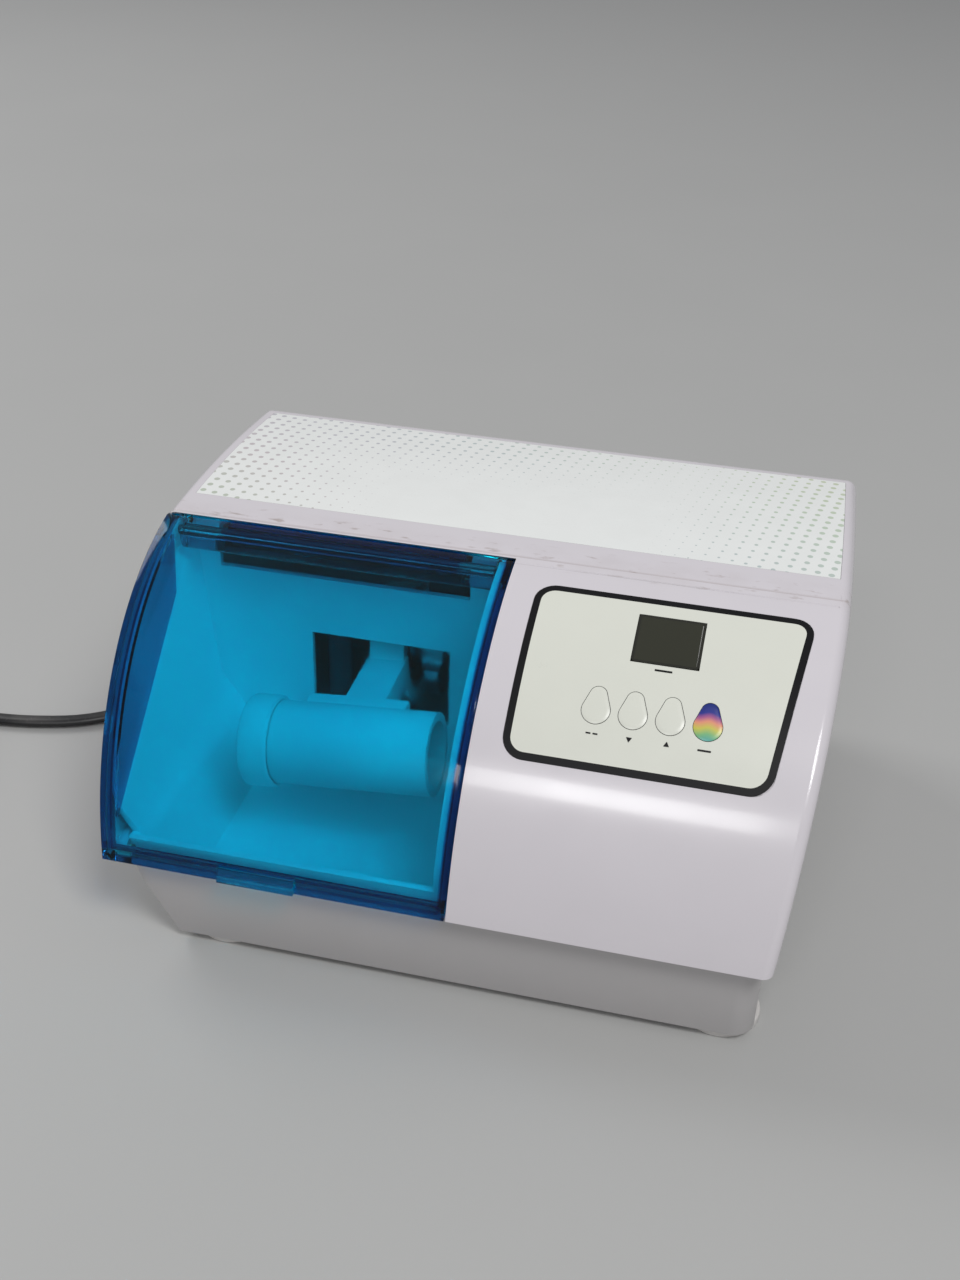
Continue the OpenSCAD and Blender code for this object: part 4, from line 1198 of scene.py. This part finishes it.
    def key(self, index: int, body: str) -> None:
        """One egg-shaped key: a low bubble with a printed outline, and the stem under it.

        Args:
            index: Place in the row, from the left.
            body: The key's body.
        """
        bm = bmesh.new()
        prints = bm.loops.layers.uv.new("print")
        bm.faces.new([bm.verts.new((x, y, 0.0)) for x, y in self.pear()])
        inset(bm, bm.faces[:], self.ring, border=True)
        for face in bm.faces:
            face.material_index = 1 if len(face.verts) == 4 else 0
        middle = [f for f in bm.faces if len(f.verts) > 4]
        for width, rise in self.bubble:
            inset(bm, middle, width, rise)
        slab(bm, self.bubble_thick, self.sunk)
        wide, high = self.print_size
        for face in bm.faces:
            for loop in face.loops:
                x, y, _ = loop.vert.co
                loop[prints].uv = (x / wide + 0.5, (y + self.print_low) / high)
        place = Matrix.Translation((0, 0, self.stem_middle))
        stem = bmesh.ops.create_cone(bm, cap_ends=True, segments=24, radius1=self.stem_r, radius2=self.stem_r,
                                     depth=self.stem_length, matrix=place)
        edges = {e for v in stem["verts"] for e in v.link_edges}
        rounded(bm, [e for e in edges if e.calc_face_angle(0.0) > 1.0], 0.2, 2)
        self.bend(bm, self.key_x + index * self.key_pitch, self.key_angle)
        slot, finish = ("start_key", StartKeyPrint()) if body == "key_start" else ("overlay", FILM)
        settle(bm, body + "_bubble", body, [finish, INK], [body])

    def marks(self) -> None:
        """Plain printed marks under the keys and the display, with no lettering."""
        bm = bmesh.new()
        rise, drop = (2 * HOUSING.face_r * math.sin(math.radians(angle - self.angle) / 2)
                      for angle in (self.display_angle, self.key_angle))
        row = drop - 9.0
        first = self.key_x - self.middle_x
        under = rise - self.display[1] / 2 - 1.9
        bars = [(first - 1.1, row, 1.6, 0.5), (first + 1.1, row, 1.6, 0.5),
                (first + 3 * self.key_pitch, row, 4.2, 0.6), (self.display_x - self.middle_x, under, 5.6, 0.7)]
        for x, y, w, h in bars:
            place = Matrix.Translation((x, y, self.mark_z)) @ Matrix.Diagonal((w, h, self.mark_thick, 1))
            bmesh.ops.create_cube(bm, size=1.0, matrix=place)
        for i, turn in ((1, math.pi), (2, 0.0)):
            x = first + i * self.key_pitch
            place = Matrix.Translation((x, row, self.mark_z)) @ Matrix.Rotation(turn, 4, "Z")
            bmesh.ops.create_cone(bm, cap_ends=True, segments=3, radius1=1.1, radius2=1.1,
                                  depth=self.mark_thick, matrix=place)
        edges = [e for e in bm.edges if abs(e.verts[0].co.z - e.verts[1].co.z) > self.mark_thick / 2]
        rounded(bm, edges, 0.15, 2)
        self.bend(bm, self.middle_x, self.angle)
        settle(bm, "panel_marks", "housing", [INK])


@dataclass
class MainsLead:
    """The flat twin lead: boot, visible run, stored coil, tie and plug."""

    width: float = 6.0
    thickness: float = 3.6
    rest_z: float = 2.4
    boot_length: float = 30.0
    exit_x: float = -62.0
    exit_y: float = 193.5
    exit_z: float = 20.0
    turns: int = 5
    outer: float = 42.0
    coil_x: float = -245.0
    coil_y: float = 60.0
    layer: float = 4.3
    rings: int = 36
    fall: tuple[tuple[float, float, float], ...] = (
        (-62, 223.5, 20), (-62, 234, 20), (-62, 244, 19), (-63, 255, 16), (-66, 266, 11), (-72, 276, 6),
        (-81, 283, 3.2))
    run: tuple[tuple[float, float], ...] = (
        (-93, 287), (-108, 287), (-122, 282), (-133, 272), (-140, 259), (-144, 245), (-146, 230),
        (-146, 215), (-146, 200), (-146, 185), (-146, 170), (-147, 155), (-150, 141), (-156, 128),
        (-165, 117.5), (-177, 110), (-191, 105.5), (-204, 103), (-217, 102), (-228, 102))

    def coil_radius(self, turn: float) -> float:
        """Radius of the coil's middle line after a number of turns."""
        half = self.turns / 2
        return self.outer - (self.width + 0.6) * (turn if turn < half else self.turns - turn)

    def path(self) -> list[Vector]:
        """The whole centreline in mm: the run, the coil and the tail to the plug."""
        keys = [Vector(p) for p in (*self.fall, *((x, y, self.rest_z) for x, y in self.run))]
        line: list[Vector] = [keys[0]]
        for i in range(len(keys) - 1):
            a, b, c, d = (keys[max(0, min(len(keys) - 1, i + k))] for k in (-1, 0, 1, 2))
            for k in range(1, 4):
                t = k / 3
                line.append(0.5 * ((2 * b) + (c - a) * t + (2 * a - 5 * b + 4 * c - d) * t * t
                                   + (3 * b - a - 3 * c + d) * t**3))
        line.append(Vector((self.coil_x + 9, self.coil_y + self.outer, self.rest_z)))
        half = self.turns / 2
        for i in range(self.turns * self.rings + 1):
            t = i / self.rings
            r = self.coil_radius(t)
            z = self.rest_z + self.layer * min(1.0, max(0.0, (t - half + 0.25) * 2))
            turn = math.tau * t
            line.append(Vector((self.coil_x - r * math.sin(turn), self.coil_y + r * math.cos(turn), z)))
        for d in (10, 20, 30):
            line.append(Vector((self.coil_x - d, self.coil_y + self.outer, self.rest_z + self.layer)))
        return line

    def ring_places(self, line: Sequence[Vector]) -> list[Matrix]:
        """Placements of the cord's cross-section along a line, lying flat."""
        places = []
        for i, point in enumerate(line):
            ahead = (line[min(i + 1, len(line) - 1)] - line[max(i - 1, 0)]).normalized()
            side = ahead.cross(Vector((0, 0, 1))).normalized()
            up = side.cross(ahead)
            turn = Matrix((side, up, ahead)).transposed().to_4x4()
            places.append(Matrix.Translation(HOUSING.point(*point)) @ turn @ Matrix.Scale(MM, 4))
        return places

    def swept(self, places: Sequence[Matrix]) -> BMesh:
        """Sweeps the twin-lobed section through the placements, and closes both ends."""
        bm = bmesh.new()
        bmesh.ops.create_circle(bm, cap_ends=False, segments=16, radius=1.0)
        for vert in bm.verts:
            waist = 1 - 0.2 * math.exp(-((vert.co.x * 3.0) ** 2))
            vert.co = Vector((vert.co.x * self.width / 2, vert.co.y * self.thickness / 2 * waist * 1.04, 0))
        bmesh.ops.transform(bm, matrix=places[0], verts=bm.verts)
        ring = bm.edges[:]
        first = ring
        for before, after in zip(places, places[1:]):
            grown = bmesh.ops.extrude_edge_only(bm, edges=ring)["geom"]
            ring = [g for g in grown if isinstance(g, bmesh.types.BMEdge)]
            verts = [g for g in grown if isinstance(g, bmesh.types.BMVert)]
            bmesh.ops.transform(bm, matrix=after @ before.inverted(), verts=verts)
        bmesh.ops.edgeloop_fill(bm, edges=first)
        bmesh.ops.edgeloop_fill(bm, edges=ring)
        outward(bm)
        return bm

    def boot(self) -> None:
        """The tapered, ribbed strain relief with its grommet in the wall."""
        profile = [(0.0, -4.5), (7.5, -4.5), (7.5, -2.6), (5.9, -2.5), (5.9, 0.0), (6.25, 0.1)]
        ribs = 7
        for i in range(ribs):
            z = 1.5 + i * (self.boot_length - 4) / ribs
            r = 6.25 - 2.15 * z / self.boot_length
            profile += [(r, z), (r, z + 1.5), (r - 0.75, z + 2.1), (r - 0.75, z + 3.0), (r - 0.15, z + 3.5)]
        profile += [(4.1, self.boot_length - 1.6), (3.9, self.boot_length), (0.0, self.boot_length)]
        base = Matrix.Translation(HOUSING.point(self.exit_x, self.exit_y, self.exit_z))
        place = base @ Matrix.Rotation(-math.pi / 2, 4, "X") @ Matrix.Scale(MM, 4)
        settle(spun(profile, place), "lead_boot", "housing", [CORD], ["strain_relief"])

    def build(self) -> None:
        self.boot()
        line = self.path()
        lead = settle(self.swept(self.ring_places(line)), "mains_lead", "housing", [CORD],
                      ["cord_run", "cord_coil"], crease=60.0)
        plug = softened_node("mains_plug", "housing", CORD, 1.2)
        pins = softened_node("plug_pins", "housing", STEEL, 0.6)
        tie = softened_node("cord_tie", "housing", BLACK, 0.15, 2)


@dataclass
class Undercarriage:
    """The base tray and its feet."""

    def build(self) -> None:
        """Builds the tray and feet with rounded edges."""
        softened_node("base_tray", "housing", TRAY, 0.7)
        softened_node("feet", "housing", FOOT, 0.8)


@dataclass
class PowerSwitch:
    """The rocker and its bezel on the back wall."""

    def build(self) -> None:
        """Builds both with rounded edges."""
        softened_node("switch_body", "housing", BLACK, 0.35, 2)
        softened_node("power_rocker", "rocker", BLACK, 0.35, 2)


@dataclass
class InnerWorks:
    """The frame's own pieces that stay as they are, and get their finishes."""

    def dress(self) -> None:
        """Gives every CAD node that still shows the finish of its slot."""
        slots = {part["node"]: part.get("material_slot") for part in frame["record"]["subparts"]}
        film = HalftoneFilm().material()
        for name, node in frame["nodes"].items():
            if node.hide_render:
                continue
            material = film if name == "top_label" else BY_SLOT.get(slots.get(name, ""), GREY).material()
            if not node.material_slots:
                node.data.materials.append(material)
            for slot in node.material_slots:
                slot.material = material
            LOG.info("%s keeps its shape, in %s", name, material.name)


@dataclass
class Studio:
    """The floor, lights and camera."""

    focal_px: float = 1494.995
    azimuth: float = math.radians(12.402)
    elevation: float = math.radians(31.761)
    roll: float = math.radians(1.802)
    aim: tuple[float, float, float] = (-0.00619, 0.0, 0.076885)
    distance: float = 0.534328
    sensor: float = 36.0
    picture_px: int = 1280
    floor_half: float = 6.0
    sky: Colour = (0.86, 0.87, 0.9)
    sky_strength: float = 0.38
    lamps: tuple[tuple[str, Colour, tuple[float, float], float], ...] = (
        ("key", (-1.7, 0.9, 1.5), (1.0, 1.0), 15.0),
        ("fill", (0.95, -1.05, 2.2), (0.85, 0.85), 28.5),
        ("window", (-0.14, -1.9, 1.63), (0.58, 0.28), 5.6))

    def camera(self) -> None:
        """Sets up the camera at the photograph's viewing angle."""
        a, e, r = self.azimuth, self.elevation, self.roll
        ahead = Vector((-math.sin(a) * math.cos(e), math.cos(a) * math.cos(e), -math.sin(e)))
        right = ahead.cross(Vector((0, 0, 1))).normalized()
        up = right.cross(ahead)
        right2 = right * math.cos(r) + up * math.sin(r)
        up2 = -right * math.sin(r) + up * math.cos(r)
        data = bpy.data.cameras.new("camera")
        data.sensor_fit = "VERTICAL"
        data.sensor_height = self.sensor
        data.lens = self.focal_px / self.picture_px * self.sensor
        data.clip_start = 0.01
        camera = placed("camera", data)
        turn = Matrix((right2, up2, -ahead)).transposed().to_4x4()
        camera.matrix_world = Matrix.Translation(Vector(self.aim) - ahead * self.distance) @ turn
        bpy.context.scene.camera = camera

    def lamp(self, name: str, place: Vector, size: tuple[float, float], power: float) -> None:
        """Adds a soft rectangular lamp that faces the machine.

        Args:
            name: The lamp's name.
            place: Where it stands, in metres.
            size: Its width and height in metres.
            power: Its power in watts.
        """
        data = bpy.data.lights.new(name, "AREA")
        data.shape = "RECTANGLE"
        data.size, data.size_y = size
        data.energy = power
        lamp = placed(name, data)
        turn = (Vector((0, 0, 0.06)) - place).to_track_quat("-Z", "Y").to_matrix().to_4x4()
        lamp.matrix_world = Matrix.Translation(place) @ turn

    def build(self) -> None:
        """Builds the floor, the world, the lamps and the camera."""
        bm = bmesh.new()
        bmesh.ops.create_grid(bm, x_segments=1, y_segments=1, size=self.floor_half)
        mesh = bpy.data.meshes.new("floor")
        bm.to_mesh(mesh)
        bm.free()
        floor = placed("floor", mesh)
        mesh.materials.append(FLOOR.material())
        world = bpy.data.worlds.new("studio")
        world.use_nodes = True
        Wiring(world.node_tree).fill(world.node_tree.nodes["Background"],
                                     {"Color": self.sky, "Strength": self.sky_strength})
        bpy.context.scene.world = world
        for name, place, size, power in self.lamps:
            self.lamp(name, Vector(place), size, power)
        self.camera()
        bpy.context.scene.view_settings.view_transform = "Standard"


def main() -> None:
    """Builds the machine and the studio in order."""
    logging.basicConfig(level=logging.INFO, format="%(name)s: %(message)s")
    Studio().build()
    MainsLead().build()
    CoverShell().build()
    LidAssembly().build()
    MixingBay().build()
    ControlPanel().build()
    Undercarriage().build()
    PowerSwitch().build()
    InnerWorks().dress()


if __name__ == "__main__":
    main()
